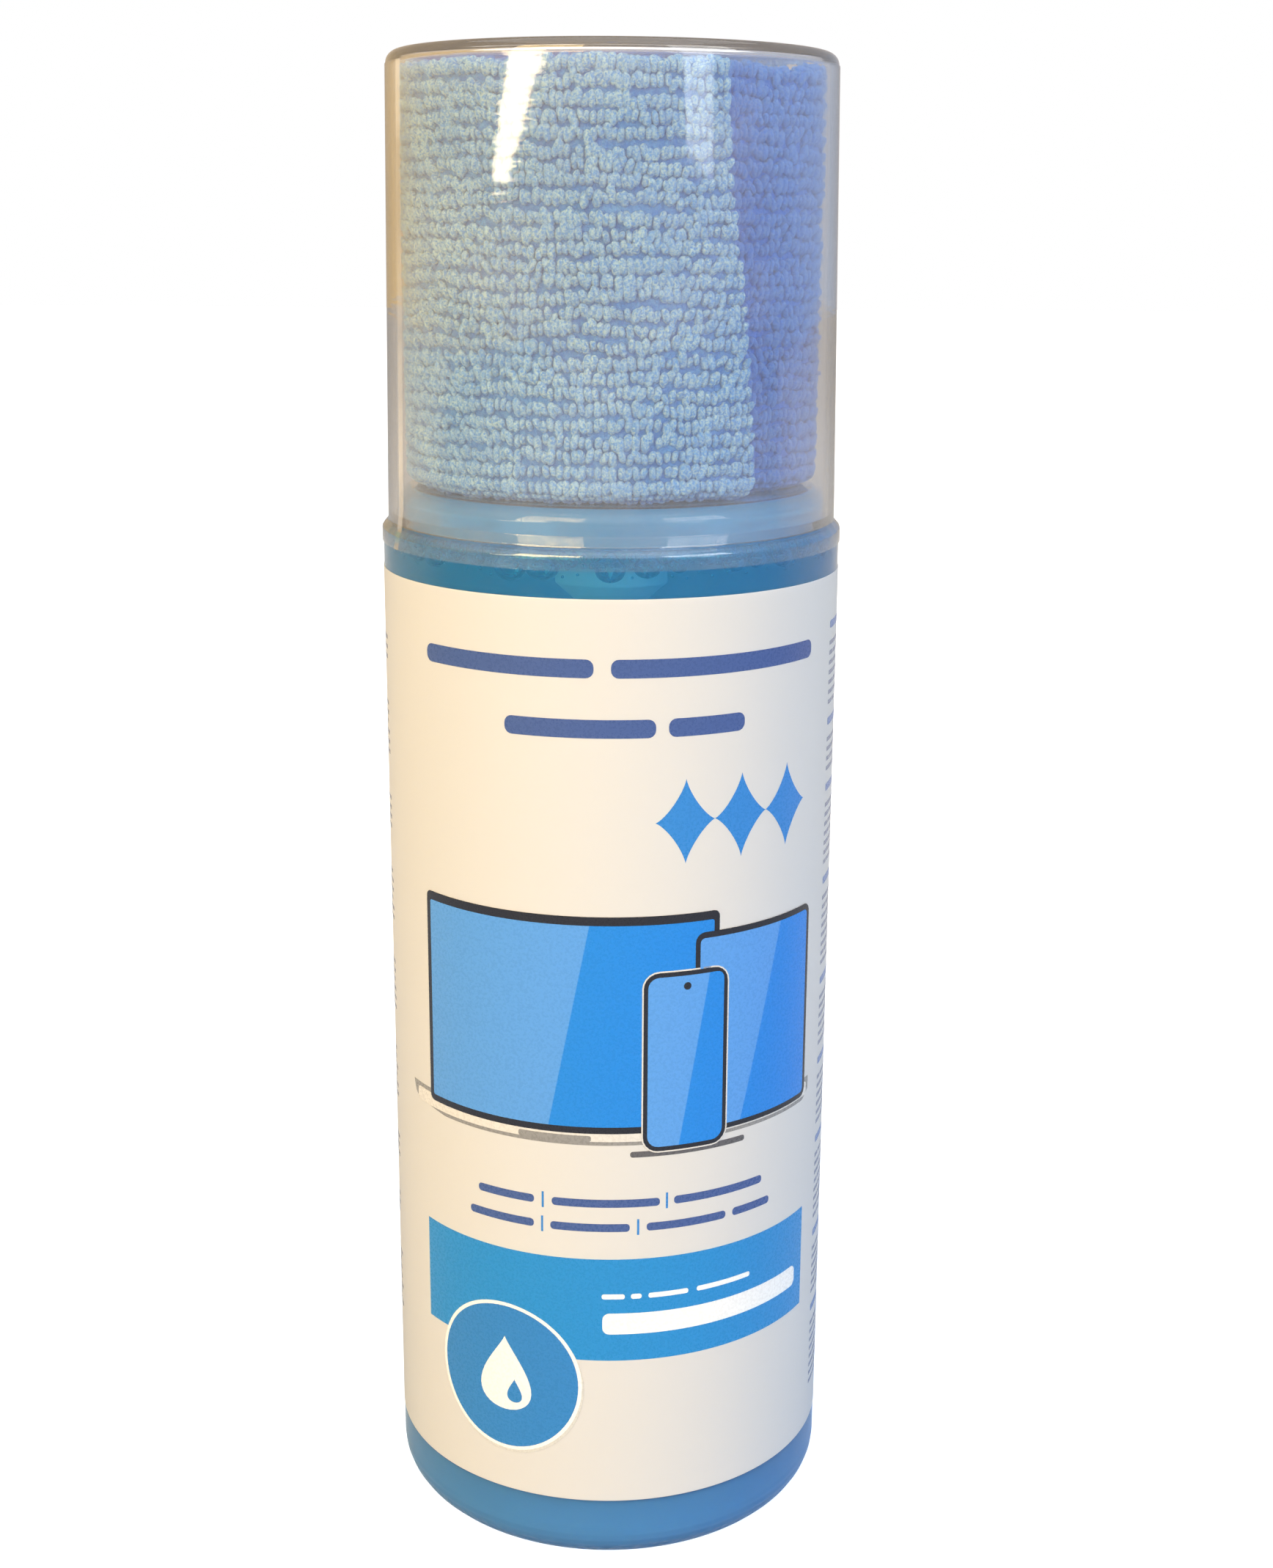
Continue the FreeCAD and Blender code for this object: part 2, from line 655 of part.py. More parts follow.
def make_spray_head():
    """Push button with a dished finger rest, a socket for the stem and a nozzle pocket."""
    rest_radius = D.head_radius - D.head_edge
    dish = dome_radius(rest_radius, D.head_dish)
    corners = (
        (ZERO, D.riser_top),
        (D.riser_radius, D.riser_top),
        (D.riser_radius, D.head_socket_top),
        (D.head_socket, D.head_socket_top),
        (D.head_socket, D.head_hub_bottom),
        (D.head_hub, D.head_hub_bottom),
        (D.head_hub, D.head_ceiling),
        (D.head_skirt, D.head_ceiling),
        (D.head_skirt, D.head_bottom),
        (D.head_radius, D.head_bottom),
        (D.head_radius, D.head_top - D.head_edge, (D.head_edge, -1)),
        (rest_radius, D.head_top, (dish, 1)),
        (ZERO, D.head_top - D.head_dish),
    )
    body = turned("actuator", corners)
    cut_towards_front(body, "cross_channel", ZERO, D.nozzle_back, D.cross_radius)
    pocket_depth = D.head_radius - D.nozzle_floor + D.head_edge
    cut_towards_front(body, "nozzle_pocket", D.nozzle_floor, pocket_depth, D.nozzle_pocket)


def cut_towards_front(body, name, start, depth, radius):
    """A round pocket at the nozzle's height that runs from the distance start towards -Y."""
    before = body.Shape.Volume
    sketch = circle_sketch(body, name + "_circle", "XZ_Plane", ZERO, D.nozzle_level, radius)
    if start is not ZERO:
        sketch.setExpression("AttachmentOffset.Base.z", start.text)
    pocket = body.newObject("PartDesign::Pocket", name)
    pocket.Profile = sketch
    pocket.Reversed = True
    pocket.setExpression("Length", depth.text)
    DOC.recompute()
    if body.Shape.Volume >= before:
        raise RuntimeError(f"{name} cuts nothing")


def make_nozzle():
    """Nozzle insert with a swirl chamber, an orifice and a countersunk mouth."""
    back = ZERO - D.nozzle_back
    front = ZERO - D.nozzle_front
    swirl_end = ZERO - D.nozzle_swirl_end
    cone_floor = front + D.nozzle_cone_depth
    corners = (
        (D.nozzle_swirl, back),
        (D.nozzle_swirl, swirl_end),
        (D.nozzle_orifice, swirl_end),
        (D.nozzle_orifice, cone_floor),
        (D.nozzle_cone, front),
        (D.nozzle_radius, front),
        (D.nozzle_radius, back),
    )
    body = turned("nozzle_insert", corners, role="XY_Plane")
    body.setExpression("Placement.Base.z", D.nozzle_level.text)


def cap_outer(level):
    """Outer radius of the tapered overcap at a height."""
    taper = (D.cap_rim_radius - D.cap_top_radius) / (D.cap_top - D.cap_rim)
    return D.cap_rim_radius - taper * (level - D.cap_rim)


def make_overcap():
    """Clear tapered cap, closed at the top, with a lead-in chamfer at its rim."""
    lead_top = D.cap_rim + D.cap_lead_height
    ceiling = D.cap_top - D.cap_roof
    edge_level = D.cap_top - D.cap_edge
    inner_edge_level = ceiling - D.cap_inner_edge
    top_inner = cap_outer(inner_edge_level) - D.cap_wall
    corners = (
        (D.cap_rim_radius - D.cap_wall + D.cap_lead, D.cap_rim),
        (D.cap_rim_radius, D.cap_rim),
        (cap_outer(edge_level), edge_level, (D.cap_edge, -1)),
        (cap_outer(edge_level) - D.cap_edge, D.cap_top),
        (ZERO, D.cap_top),
        (ZERO, ceiling),
        (top_inner - D.cap_inner_edge, ceiling, (D.cap_inner_edge, 1)),
        (top_inner, inner_edge_level),
        (cap_outer(lead_top) - D.cap_wall, lead_top),
    )
    turned("overcap", corners)


def make_film():
    """Clear shrink film over the joint of bottle and overcap and up the overcap's side."""
    body_radius = D.bottle_radius + D.film_body_gap
    foot = cap_outer(D.film_meets_cap) + D.film_gap
    head = cap_outer(D.film_top) + D.film_gap
    corners = (
        (body_radius, D.film_bottom),
        (body_radius + D.film_thickness, D.film_bottom),
        (body_radius + D.film_thickness, D.film_neck),
        (foot + D.film_thickness, D.film_meets_cap),
        (head + D.film_thickness, D.film_top),
        (head, D.film_top),
        (foot, D.film_meets_cap),
        (body_radius, D.film_neck),
    )
    turned("tamper_film", corners)


def make_cloth():
    """Space of the cloth: folded to a strip and rolled round the pump inside the overcap."""
    inner = D.cloth_inner + D.cloth_edge
    outer = D.cloth_outer - D.cloth_edge
    low = D.cloth_bottom + D.cloth_edge
    high = D.cloth_top - D.cloth_edge
    bend = (D.cloth_edge, -1)
    corners = (
        (inner, D.cloth_bottom),
        (outer, D.cloth_bottom, bend),
        (D.cloth_outer, low),
        (D.cloth_outer, high, bend),
        (outer, D.cloth_top),
        (inner, D.cloth_top, bend),
        (D.cloth_inner, high),
        (D.cloth_inner, low, bend),
    )
    turned("microfiber_cloth", corners)


def check_and_write():
    """Refuse failed objects and bad shapes, then write one STEP file for each node."""
    DOC.recompute()
    for item in DOC.Objects:
        if "Invalid" in item.State or "Error" in item.State:
            raise RuntimeError(f"{item.Label} failed: {item.State}")
    for node in NODES:
        if node.Shape.isNull() or not node.Shape.isValid() or not node.Shape.Solids:
            raise RuntimeError(f"{node.Label} has a bad shape")
    os.makedirs("parts", exist_ok=True)
    for node in NODES:
        node.Shape.exportStep(os.path.join("parts", node.Label + ".step"))
        volume = node.Shape.Volume / 1000.0
        print(f"{node.Label}: {len(node.Shape.Solids)} solid, {volume:.3f} cm3")


fill_sheet()
make_bottle()
make_label()
make_liquid()
make_closure()
make_gasket()
make_housing()
make_stem_guide()
make_dip_tube()
make_ball()
make_stem()
make_stem_core()
make_piston()
make_springs()
make_spray_head()
make_nozzle()
make_overcap()
make_film()
make_cloth()
check_and_write()
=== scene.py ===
import math
import random

import bmesh
import bpy
from mathutils import Matrix, Vector
from mathutils.noise import noise


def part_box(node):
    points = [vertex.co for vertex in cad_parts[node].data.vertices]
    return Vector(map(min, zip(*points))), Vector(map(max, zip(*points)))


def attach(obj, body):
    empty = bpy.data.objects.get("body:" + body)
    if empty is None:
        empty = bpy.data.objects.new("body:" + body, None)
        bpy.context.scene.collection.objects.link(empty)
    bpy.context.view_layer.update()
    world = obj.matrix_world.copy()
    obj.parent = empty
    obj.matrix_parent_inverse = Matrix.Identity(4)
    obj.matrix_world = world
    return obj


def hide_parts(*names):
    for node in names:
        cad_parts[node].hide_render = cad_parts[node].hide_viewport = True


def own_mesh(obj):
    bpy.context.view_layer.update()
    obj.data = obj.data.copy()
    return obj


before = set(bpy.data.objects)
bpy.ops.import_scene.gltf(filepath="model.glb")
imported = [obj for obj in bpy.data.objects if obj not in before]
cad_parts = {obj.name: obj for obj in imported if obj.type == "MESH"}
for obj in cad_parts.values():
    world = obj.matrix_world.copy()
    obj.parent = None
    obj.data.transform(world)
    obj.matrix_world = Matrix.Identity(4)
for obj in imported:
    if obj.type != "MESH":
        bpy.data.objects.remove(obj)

# The looks of a pump spray bottle of blue cleaning liquid: blown bottle, wrap label with its
# print, clear overcap with a shrink film, a rolled terry cloth, and the pump inside the cloth.
#
# Lengths are millimetres, and MM turns them into metres; materials, stage, lights and camera are
# in metres throughout.  Angles round the bottle start at the front, which faces -Y, and grow
# towards +X.

MM = 0.001
TURN = 2 * math.pi
SEGMENTS = 256
ARC_STEPS = 7
CREASE = math.radians(32)
AXIS_LIMIT = 1e-6
THREAD_FOOT = 0.85
THREAD_CREST = 0.35

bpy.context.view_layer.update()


# ---- measures from the CAD model


def measure(node):
    """Outer radius, bottom and top of a round CAD node."""
    low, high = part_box(node)
    return high.x / MM, low.z / MM, high.z / MM


BOTTLE_RADIUS, FLOOR_LEVEL, NECK_TOP = measure("bottle")
LABEL_RADIUS, LABEL_BOTTOM, LABEL_TOP = measure("wrap_label")
LIQUID_TOP = measure("cleaning_liquid")[2]
CLOSURE_BOTTOM, CLOSURE_TOP = measure("closure")[1:]
HEAD_BOTTOM, HEAD_TOP = measure("actuator")[1:]
CAP_RADIUS, CAP_BOTTOM, CAP_TOP = measure("overcap")
FILM_RADIUS, FILM_BOTTOM, FILM_TOP = measure("tamper_film")
SPRING_BOTTOM, SPRING_TOP = measure("return_spring")[1:]
NOZZLE_LEVEL = sum(measure("nozzle_insert")[1:]) / 2


# ---- mesh tools


def smooth_step(value):
    """0 below 0, 1 above 1, and a smooth rise between them."""
    value = min(max(value, 0.0), 1.0)
    return value * value * (3 - 2 * value)


def round_the_bottle(radius, angle, height):
    """The point at an angle from the front, in millimetres."""
    return radius * math.sin(angle), -radius * math.cos(angle), height


def rounded(corners, steps=ARC_STEPS):
    """Points of a closed outline; a corner (x, y, radius) gets an arc, and (x, y) stays sharp."""
    points = []
    for index, corner in enumerate(corners):
        here = Vector(corner[:2])
        if len(corner) == 2:
            points.append(tuple(here))
            continue
        before = Vector(corners[index - 1][:2]) - here
        after = Vector(corners[(index + 1) % len(corners)][:2]) - here
        half = before.angle(after) / 2
        reach = min(corner[2] / math.tan(half), before.length * 0.49, after.length * 0.49)
        before.normalize()
        after.normalize()
        middle = here + (before + after).normalized() * reach / math.cos(half)
        first = here + before * reach - middle
        last = here + after * reach - middle
        sweep = first.angle(last)
        for step in range(steps + 1):
            share = step / steps
            spoke = first * math.sin((1 - share) * sweep) + last * math.sin(share * sweep)
            points.append(tuple(middle + spoke / math.sin(sweep)))
    return points


def dome(half_width, height, steps=12):
    """Points (radius, height) of a shallow dome, from its middle to just before its rim."""
    big = (half_width ** 2 + height ** 2) / (2 * height)
    radii = [half_width * step / steps for step in range(steps)]
    return [(r, height - big + math.sqrt(big ** 2 - r ** 2)) for r in radii]


def held(outline, near=0.2):
    """The outline with points added close to the ends of its long runs, which then shade flat."""
    points = []
    for start, end in zip(outline, outline[1:] + outline[:1]):
        points.append(start)
        run = Vector(end) - Vector(start)
        on_axis = max(start[0], end[0]) < AXIS_LIMIT
        if run.length > near * 5 and not on_axis:
            step = run.normalized() * near
            points.append(tuple(Vector(start) + step))
            points.append(tuple(Vector(end) - step))
    return points


def lathe(profile, steps=SEGMENTS, shape=None):
    """Points and faces of a closed profile turned round the upright axis.

    shape(radius, height, angle) may give a point another radius."""
    points = []
    rings = []
    for radius, height in held(profile):
        first = len(points)
        if radius < AXIS_LIMIT:
            rings.append([first] * steps)
            points.append((0.0, 0.0, height))
            continue
        rings.append(list(range(first, first + steps)))
        for step in range(steps):
            angle = TURN * step / steps
            reach = shape(radius, height, angle) if shape else radius
            points.append(round_the_bottle(reach, angle, height))
    faces = []
    for near, far in zip(rings, rings[1:] + rings[:1]):
        for step in range(steps):
            turn = (step + 1) % steps
            loop = (near[step], near[turn], far[turn], far[step])
            face = list(dict.fromkeys(loop))
            if len(face) > 2:
                faces.append(face)
    return points, faces


def wall_faces(ring, rows, stride):
    """Faces that join a ring of point numbers to its copies, each a stride further on."""
    faces = []
    for base in range(0, rows * stride, stride):
        for index, first in enumerate(ring):
            near = base + first
            turn = base + ring[(index + 1) % len(ring)]
            faces.append((near, turn, turn + stride, near + stride))
    return faces


def rod_faces(sides, rows):
    """Faces of a closed rod whose points come ring by ring."""
    ends = [tuple(range(sides)), tuple(range(rows * sides, (rows + 1) * sides))]
    return wall_faces(range(sides), rows, sides) + ends


def slab_faces(width, rows):
    """Faces of a closed slab; each row has width points of one side, then width of the other."""
    ring = list(range(width)) + list(range(2 * width - 1, width - 1, -1))
    faces = wall_faces(ring, rows, 2 * width)
    for base in (0, rows * 2 * width):
        for index in range(base, base + width - 1):
            faces.append((index, index + 1, index + width + 1, index + width))
    return faces


def tube(path, radius, sides):
    """Points and faces of a closed tube along a path of points."""
    path = [Vector(point) for point in path]
    points = []
    for index, centre in enumerate(path):
        ahead = path[min(index + 1, len(path) - 1)] - path[max(index - 1, 0)]
        across = ahead.cross(Vector((0, 0, 1))).normalized()
        up = across.cross(ahead).normalized()
        for side in range(sides):
            angle = TURN * side / sides
            points.append(centre + (across * math.cos(angle) + up * math.sin(angle)) * radius)
    return points, rod_faces(sides, len(path) - 1)


def thread_ridge(root, crest, start, pitch, turns, steps=72):
    """Points and faces of a screw thread's ridge that fades in and out at its ends."""
    points = []
    total = int(steps * turns)
    for step in range(total + 1):
        share = step / total
        fade = min(1.0, share * 8, (1 - share) * 8)
        middle = start + pitch * turns * share
        tip = root + (crest - root) * max(fade, 0.02)
        section = (
            (root, middle - THREAD_FOOT),
            (tip, middle - THREAD_CREST),
            (tip, middle + THREAD_CREST),
            (root, middle + THREAD_FOOT),
        )
        angle = TURN * turns * share
        points.extend(round_the_bottle(radius, angle, height) for radius, height in section)
    return points, rod_faces(len(section), total)


def append_shape(points, faces, more_points, more_faces):
    """Add another shape's points and faces."""
    base = len(points)
    points.extend(more_points)
    faces.extend(tuple(base + index for index in face) for face in more_faces)


def merged(*shapes):
    """Several (points, faces) as one."""
    points = []
    faces = []
    for shape in shapes:
        append_shape(points, faces, *shape)
    return points, faces


def ball_shape(detail):
    """Points and faces of a unit ball."""
    work = bmesh.new()
    bmesh.ops.create_icosphere(work, subdivisions=detail, radius=1.0)
    points = [vertex.co.copy() for vertex in work.verts]
    faces = [tuple(vertex.index for vertex in face.verts) for face in work.faces]
    work.free()
    return points, faces


def add_piece(name, shape, material, body, replaced=()):
    """A mesh piece that rides on a body and may stand for CAD nodes."""
    points, faces = shape
    mesh = bpy.data.meshes.new(name)
    mesh.from_pydata([Vector(point) * MM for point in points], [], faces)
    work = bmesh.new()
    work.from_mesh(mesh)
    bmesh.ops.recalc_face_normals(work, faces=work.faces)
    work.to_mesh(mesh)
    work.free()
    return add_object(name, mesh, material, body, replaced)


def add_object(name, mesh, material, body, replaced=()):
    """An object for a finished mesh, shaded smooth between its creases."""
    mesh.shade_smooth()
    mesh.set_sharp_from_angle(angle=CREASE)
    mesh.materials.append(material)
    piece = bpy.data.objects.new(name, mesh)
    bpy.context.scene.collection.objects.link(piece)
    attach(piece, body)
    if replaced:
        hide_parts(*replaced)
    return piece


# ---- material tools


def srgb(red, green, blue):
    """A colour given as 0 to 255 screen values."""
    linear = []
    for value in (red, green, blue):
        share = value / 255
        linear.append(share / 12.92 if share <= 0.04045 else ((share + 0.055) / 1.055) ** 2.4)
    return (*linear, 1.0)


def new_material(name):
    """An empty material and its node tree, whose first node is the output."""
    material = bpy.data.materials.new(name)
    material.use_nodes = True
    tree = material.node_tree
    tree.nodes.clear()
    tree.nodes.new("ShaderNodeOutputMaterial")
    return material, tree


def node(tree, kind, inputs=None, **settings):
    """A shader node.  An input is a constant, a node's output, or a node for its first output."""
    made = tree.nodes.new("ShaderNode" + kind)
    for name, value in settings.items():
        setattr(made, name, value)
    for name, value in (inputs or {}).items():
        if isinstance(value, bpy.types.Node):
            value = value.outputs[0]
        if isinstance(value, bpy.types.NodeSocket):
            tree.links.new(value, made.inputs[name])
        else:
            made.inputs[name].default_value = value
    return made


def show(tree, shader, part="Surface"):
    """Link a shader to the output, the tree's first node."""
    tree.links.new(shader.outputs[0], tree.nodes[0].inputs[part])


def principled(tree, values):
    """A Principled shader."""
    return node(tree, "BsdfPrincipled", values)


def math_node(tree, operation, first, second):
    """The result of a Math node."""
    return node(tree, "Math", {0: first, 1: second}, operation=operation).outputs[0]


def times(tree, first, second):
    """The product of two values."""
    return math_node(tree, "MULTIPLY", first, second)


def place(tree):
    """The point on the surface in the piece's own frame, in metres."""
    return node(tree, "TexCoord").outputs["Object"]


def along(tree, axis):
    """One coordinate of that point."""
    return node(tree, "SeparateXYZ", {0: place(tree)}).outputs[axis]


def grain(tree, scale, detail=3.0, roughness=0.6):
    """A noise value from 0 to 1; scale is its spots per metre."""
    values = {"Vector": place(tree), "Scale": scale, "Detail": detail, "Roughness": roughness}
    return node(tree, "TexNoise", values).outputs["Fac"]


def between(tree, value, low, high, new_low=0.0, new_high=1.0, smooth=True):
    """The value mapped from low..high to new_low..new_high."""
    values = {"Value": value, "From Min": low, "From Max": high, "To Min": new_low, "To Max": new_high}
    kind = "SMOOTHSTEP" if smooth else "LINEAR"
    return node(tree, "MapRange", values, interpolation_type=kind).outputs["Result"]


def blend_colours(tree, share, first, second):
    """A colour between two others."""
    return node(tree, "Mix", {0: share, 6: first, 7: second}, data_type="RGBA").outputs[2]


def mix_shaders(tree, share, first, second):
    """A shader between two others."""
    return node(tree, "MixShader", {0: share, 1: first, 2: second})


def stretched_noise(tree, stretch, detail):
    """A noise value whose spots per metre differ along X, Y and Z."""
    vector = node(tree, "Mapping", {"Vector": place(tree), "Scale": stretch})
    return node(tree, "TexNoise", {"Vector": vector, "Scale": 1.0, "Detail": detail}).outputs["Fac"]


def bump(tree, height, distance, strength=1.0):
    """A bumped normal; distance is the depth in metres."""
    values = {"Height": height, "Distance": distance, "Strength": strength}
    return node(tree, "Bump", values).outputs["Normal"]


def let_light_through(tree, shader, tint):
    """Shadow rays pass a clear piece as through tinted glass."""
    clear = node(tree, "BsdfTransparent", {"Color": tint})
    shadow = node(tree, "LightPath").outputs["Is Shadow Ray"]
    show(tree, mix_shaders(tree, shadow, shader, clear))


def print_relief(tree):
    """The normal of a finely grained film."""
    return bump(tree, times(tree, grain(tree, 1600.0, 2.0), 0.000004), 1.0, 0.5)


# ---- materials


CLEAR_PLASTIC = (0.97, 0.985, 1.0, 1.0)
WET_PLASTIC = (0.74, 0.93, 0.98, 1.0)
LEDGE_TINT = (0.20, 0.72, 0.84, 1.0)
WHITE = (1.0, 1.0, 1.0, 1.0)
STIPPLE_HEIGHTS = 0.0012, 0.0042
WET_HEIGHTS = 0.138, 0.1415
LEDGE_RISE = 0.1346, 0.1358
LEDGE_FADE = 0.1366, 0.1372
LIQUID_HEIGHTS = 0.02, 0.12
SPIGOT_HEIGHTS = 0.1362, 0.137


def clear_bottle_material():
    """Blown clear plastic: slightly wavy, with a stippled standing ring."""
    material, tree = new_material("clear_bottle")
    height = along(tree, "Z")
    waves = times(tree, grain(tree, 90.0, 2.0), 0.00016)
    stipple = node(tree, "TexVoronoi", {"Vector": place(tree), "Scale": 900.0}).outputs["Distance"]
    low = between(tree, height, *STIPPLE_HEIGHTS, 1.0, 0.0)
    flecks = times(tree, times(tree, stipple, low), 0.0003)
    wet = between(tree, height, *WET_HEIGHTS, 1.0, 0.0)
    under = times(tree, between(tree, height, *LEDGE_RISE), between(tree, height, *LEDGE_FADE, 1.0, 0.0))
    tint = blend_colours(tree, wet, CLEAR_PLASTIC, WET_PLASTIC)
    values = {
        "Base Color": blend_colours(tree, under, tint, LEDGE_TINT),
        "Roughness": between(tree, low, 0.0, 1.0, 0.03, 0.16),
        "IOR": 1.57,
        "Transmission Weight": 1.0,
        "Normal": bump(tree, math_node(tree, "ADD", waves, flecks), 1.0, 0.7),
    }
    let_light_through(tree, principled(tree, values), (0.93, 0.95, 0.96, 1.0))
    return material


def clear_cap_material():
    """Moulded clear polystyrene with faint flow lines."""
    material, tree = new_material("clear_cap")
    flow = stretched_noise(tree, (220.0, 220.0, 14.0), 2.0)
    values = {
        "Base Color": (0.985, 0.975, 0.965, 1.0),
        "Roughness": 0.025,
        "IOR": 1.59,
        "Transmission Weight": 1.0,
        "Normal": bump(tree, flow, 0.00003, 0.6),
    }
    veil = node(tree, "BsdfDiffuse", {"Color": (0.86, 0.82, 0.80, 1.0)})
    shader = mix_shaders(tree, 0.03, principled(tree, values), veil)
    let_light_through(tree, shader, (0.99, 0.99, 1.0, 1.0))
    return material


def clear_film_material(name, haze):
    """Shrink film: mostly clear, with a glossy skin and a little haze."""
    material, tree = new_material(name)
    ripple = bump(tree, stretched_noise(tree, (60.0, 60.0, 240.0), 3.0), 0.00012, 0.6)
    clear = node(tree, "BsdfTransparent", {"Color": (0.99, 0.99, 0.99, 1.0)})
    gloss = node(tree, "BsdfGlossy", {"Roughness": 0.06, "Normal": ripple})
    veil = node(tree, "BsdfDiffuse", {"Color": (0.9, 0.88, 0.87, 1.0)})
    cloudy = times(tree, between(tree, grain(tree, 40.0), 0.3, 0.8), haze)
    facing = node(tree, "LayerWeight", {"Blend": 0.5}).outputs["Facing"]
    edge = between(tree, math_node(tree, "POWER", facing, 5.0), 0.0, 1.0, 0.04, 1.0, smooth=False)
    skin = mix_shaders(tree, edge, mix_shaders(tree, cloudy, clear, veil), gloss)
    shadow = node(tree, "LightPath").outputs["Is Shadow Ray"]
    show(tree, mix_shaders(tree, shadow, skin, clear))
    return material


def liquid_material():
    """Blue cleaning liquid: slightly cloudy, and its depth deepens the colour."""
    material, tree = new_material("blue_liquid")
    values = {
        "Base Color": (0.9, 0.97, 1.0, 1.0),
        "Roughness": 0.0,
        "IOR": 1.34,
        "Transmission Weight": 1.0,
    }
    clear = principled(tree, values)
    height = along(tree, "Z")
    upper = between(tree, height, *LIQUID_HEIGHTS)
    spigot = between(tree, height, *SPIGOT_HEIGHTS)
    tone = blend_colours(tree, upper, srgb(84, 150, 214), srgb(20, 142, 208))
    cloud = node(tree, "BsdfDiffuse", {"Color": tone})
    deep = between(tree, upper, 0.0, 1.0, 0.55, 0.32)
    share = math_node(tree, "ADD", deep, times(tree, spigot, 0.32))
    let_light_through(tree, mix_shaders(tree, share, clear, cloud), values["Base Color"])
    depth = node(tree, "VolumeAbsorption", {"Color": (0.02, 0.64, 0.84, 1.0), "Density": 33.0})
    show(tree, depth, "Volume")
    return material


def bubble_material():
    """Air in the liquid."""
    material, tree = new_material("air_bubble")
    values = {"Color": (0.62, 0.93, 0.98, 1.0), "Roughness": 0.0, "IOR": 0.746}
    let_light_through(tree, node(tree, "BsdfGlass", values), WHITE)
    return material


def label_material():
    """Satin film label, finely grained and a little translucent."""
    material, tree = new_material("label_film")
    values = {
        "Base Color": (0.835, 0.822, 0.805, 1.0),
        "Roughness": 0.28,
        "IOR": 1.5,
        "Normal": print_relief(tree),
    }
    back_light = node(tree, "BsdfTranslucent", {"Color": (0.94, 0.93, 0.90, 1.0)})
    show(tree, mix_shaders(tree, 0.3, principled(tree, values), back_light))
    return material


def scaled(colour, factor):
    """A colour made darker or lighter."""
    return (*(min(value * factor, 1.0) for value in colour[:3]), 1.0)


def ink_material(name, colour, spread=0.04):
    """Printed ink with the faint dots and unevenness of print."""
    material, tree = new_material(name)
    tone = between(tree, grain(tree, 2400.0, 3.0, 0.7), 0.3, 0.7)
    values = {
        "Base Color": blend_colours(tree, tone, scaled(colour, 1 - spread), scaled(colour, 1 + spread)),
        "Roughness": between(tree, tone, 0.0, 1.0, 0.26, 0.3),
        "IOR": 1.5,
        "Normal": print_relief(tree),
    }
    show(tree, principled(tree, values))
    return material


def polymer_material(name, colour, roughness, scatter):
    """Moulded polymer: fine surface texture and a little light under the skin."""
    material, tree = new_material(name)
    tone = between(tree, grain(tree, 120.0), 0.3, 0.7)
    values = {
        "Base Color": blend_colours(tree, tone, scaled(colour, 0.94), colour),
        "Roughness": between(tree, tone, 0.0, 1.0, roughness, roughness + 0.1),
        "IOR": 1.5,
        "Subsurface Weight": scatter,
        "Subsurface Radius": (0.9, 0.9, 1.0),
        "Subsurface Scale": 0.0015,
        "Normal": bump(tree, times(tree, grain(tree, 2600.0, 2.0), 0.00002), 1.0, 0.6),
    }
    show(tree, principled(tree, values))
    return material


def steel_material():
    """Drawn stainless wire and ball."""
    material, tree = new_material("spring_steel")
    scratch = grain(tree, 1800.0, 4.0)
    values = {
        "Base Color": (0.62, 0.62, 0.64, 1.0),
        "Metallic": 1.0,
        "Roughness": between(tree, scratch, 0.2, 0.8, 0.2, 0.38),
        "Normal": bump(tree, scratch, 0.000006, 0.5),
    }
    show(tree, principled(tree, values))
    return material


# Painted shade: a deeper blue where the outer turn shades the cloth's recessed inner turn.
RECESS_PAINTED_SHADE = srgb(12, 112, 236)
RECESS_SHADE_SIDE = (0.985, 0.17, 0.0)


def painted_recess_shade(tree):
    """Mask of painted shade: 1 on the cloth's recessed inner turn, near the axis or beyond the strip's end
    on the right.
    """
    flat = node(tree, "VectorMath", {0: place(tree), 1: (1.0, 1.0, 0.0)}, operation="MULTIPLY")
    reach = node(tree, "VectorMath", {0: flat}, operation="LENGTH").outputs["Value"]
    inside = between(tree, reach, 0.0262, 0.0232, 0.0, 0.8)
    right_hand = {0: place(tree), 1: RECESS_SHADE_SIDE}
    facing = node(tree, "VectorMath", right_hand, operation="DOT_PRODUCT").outputs["Value"]
    fade = between(tree, along(tree, "Y"), 0.0, 0.02, 0.8, 0.0)
    return math_node(tree, "MAXIMUM", inside, times(tree, between(tree, facing, 0.0162, 0.0176), fade))


def terry_material(name, deep, pale, relief_scale, relief_depth):
    """Blue microfibre: pale fibre tips over a deeper ground, and painted shade, a deeper blue, on the
    recessed inner turn.
    """
    material, tree = new_material(name)
    fibres = grain(tree, relief_scale, 4.0, 0.8)
    wide = between(tree, grain(tree, 220.0, 3.0, 0.7), 0.3, 0.7)
    colour = blend_colours(tree, between(tree, fibres, 0.4, 0.6), deep, pale)
    colour = blend_colours(tree, between(tree, wide, 0.0, 1.0, 0.0, 0.3), colour, deep)
    values = {
        # painted shade on the recessed inner turn
        "Base Color": blend_colours(tree, painted_recess_shade(tree), colour, RECESS_PAINTED_SHADE),
        "Roughness": 0.92,
        "IOR": 1.4,
        "Sheen Weight": 0.55,
        "Sheen Roughness": 0.5,
        "Sheen Tint": (0.4, 0.7, 1.0, 1.0),
        "Normal": bump(tree, fibres, relief_depth, 1.0),
    }
    show(tree, principled(tree, values))
    return material


# ---- bottle, liquid and label

WALL = 0.45
BASE_WALL = 0.8
PUSH_UP = 3.5
RING_RADIUS = 20.0
BASE_FILLET = 5.9
LEDGE_LEVEL = 136.8
SPIGOT_RADIUS = 27.75
SHOULDER_LEVEL = 141.5
SHOULDER_RISE = 0.7
NECK_RADIUS = 10.9
NECK_BORE = 9.0
THREAD_PITCH = 3.175
THREAD_START = 151.0
THREAD_TURNS = 1.5


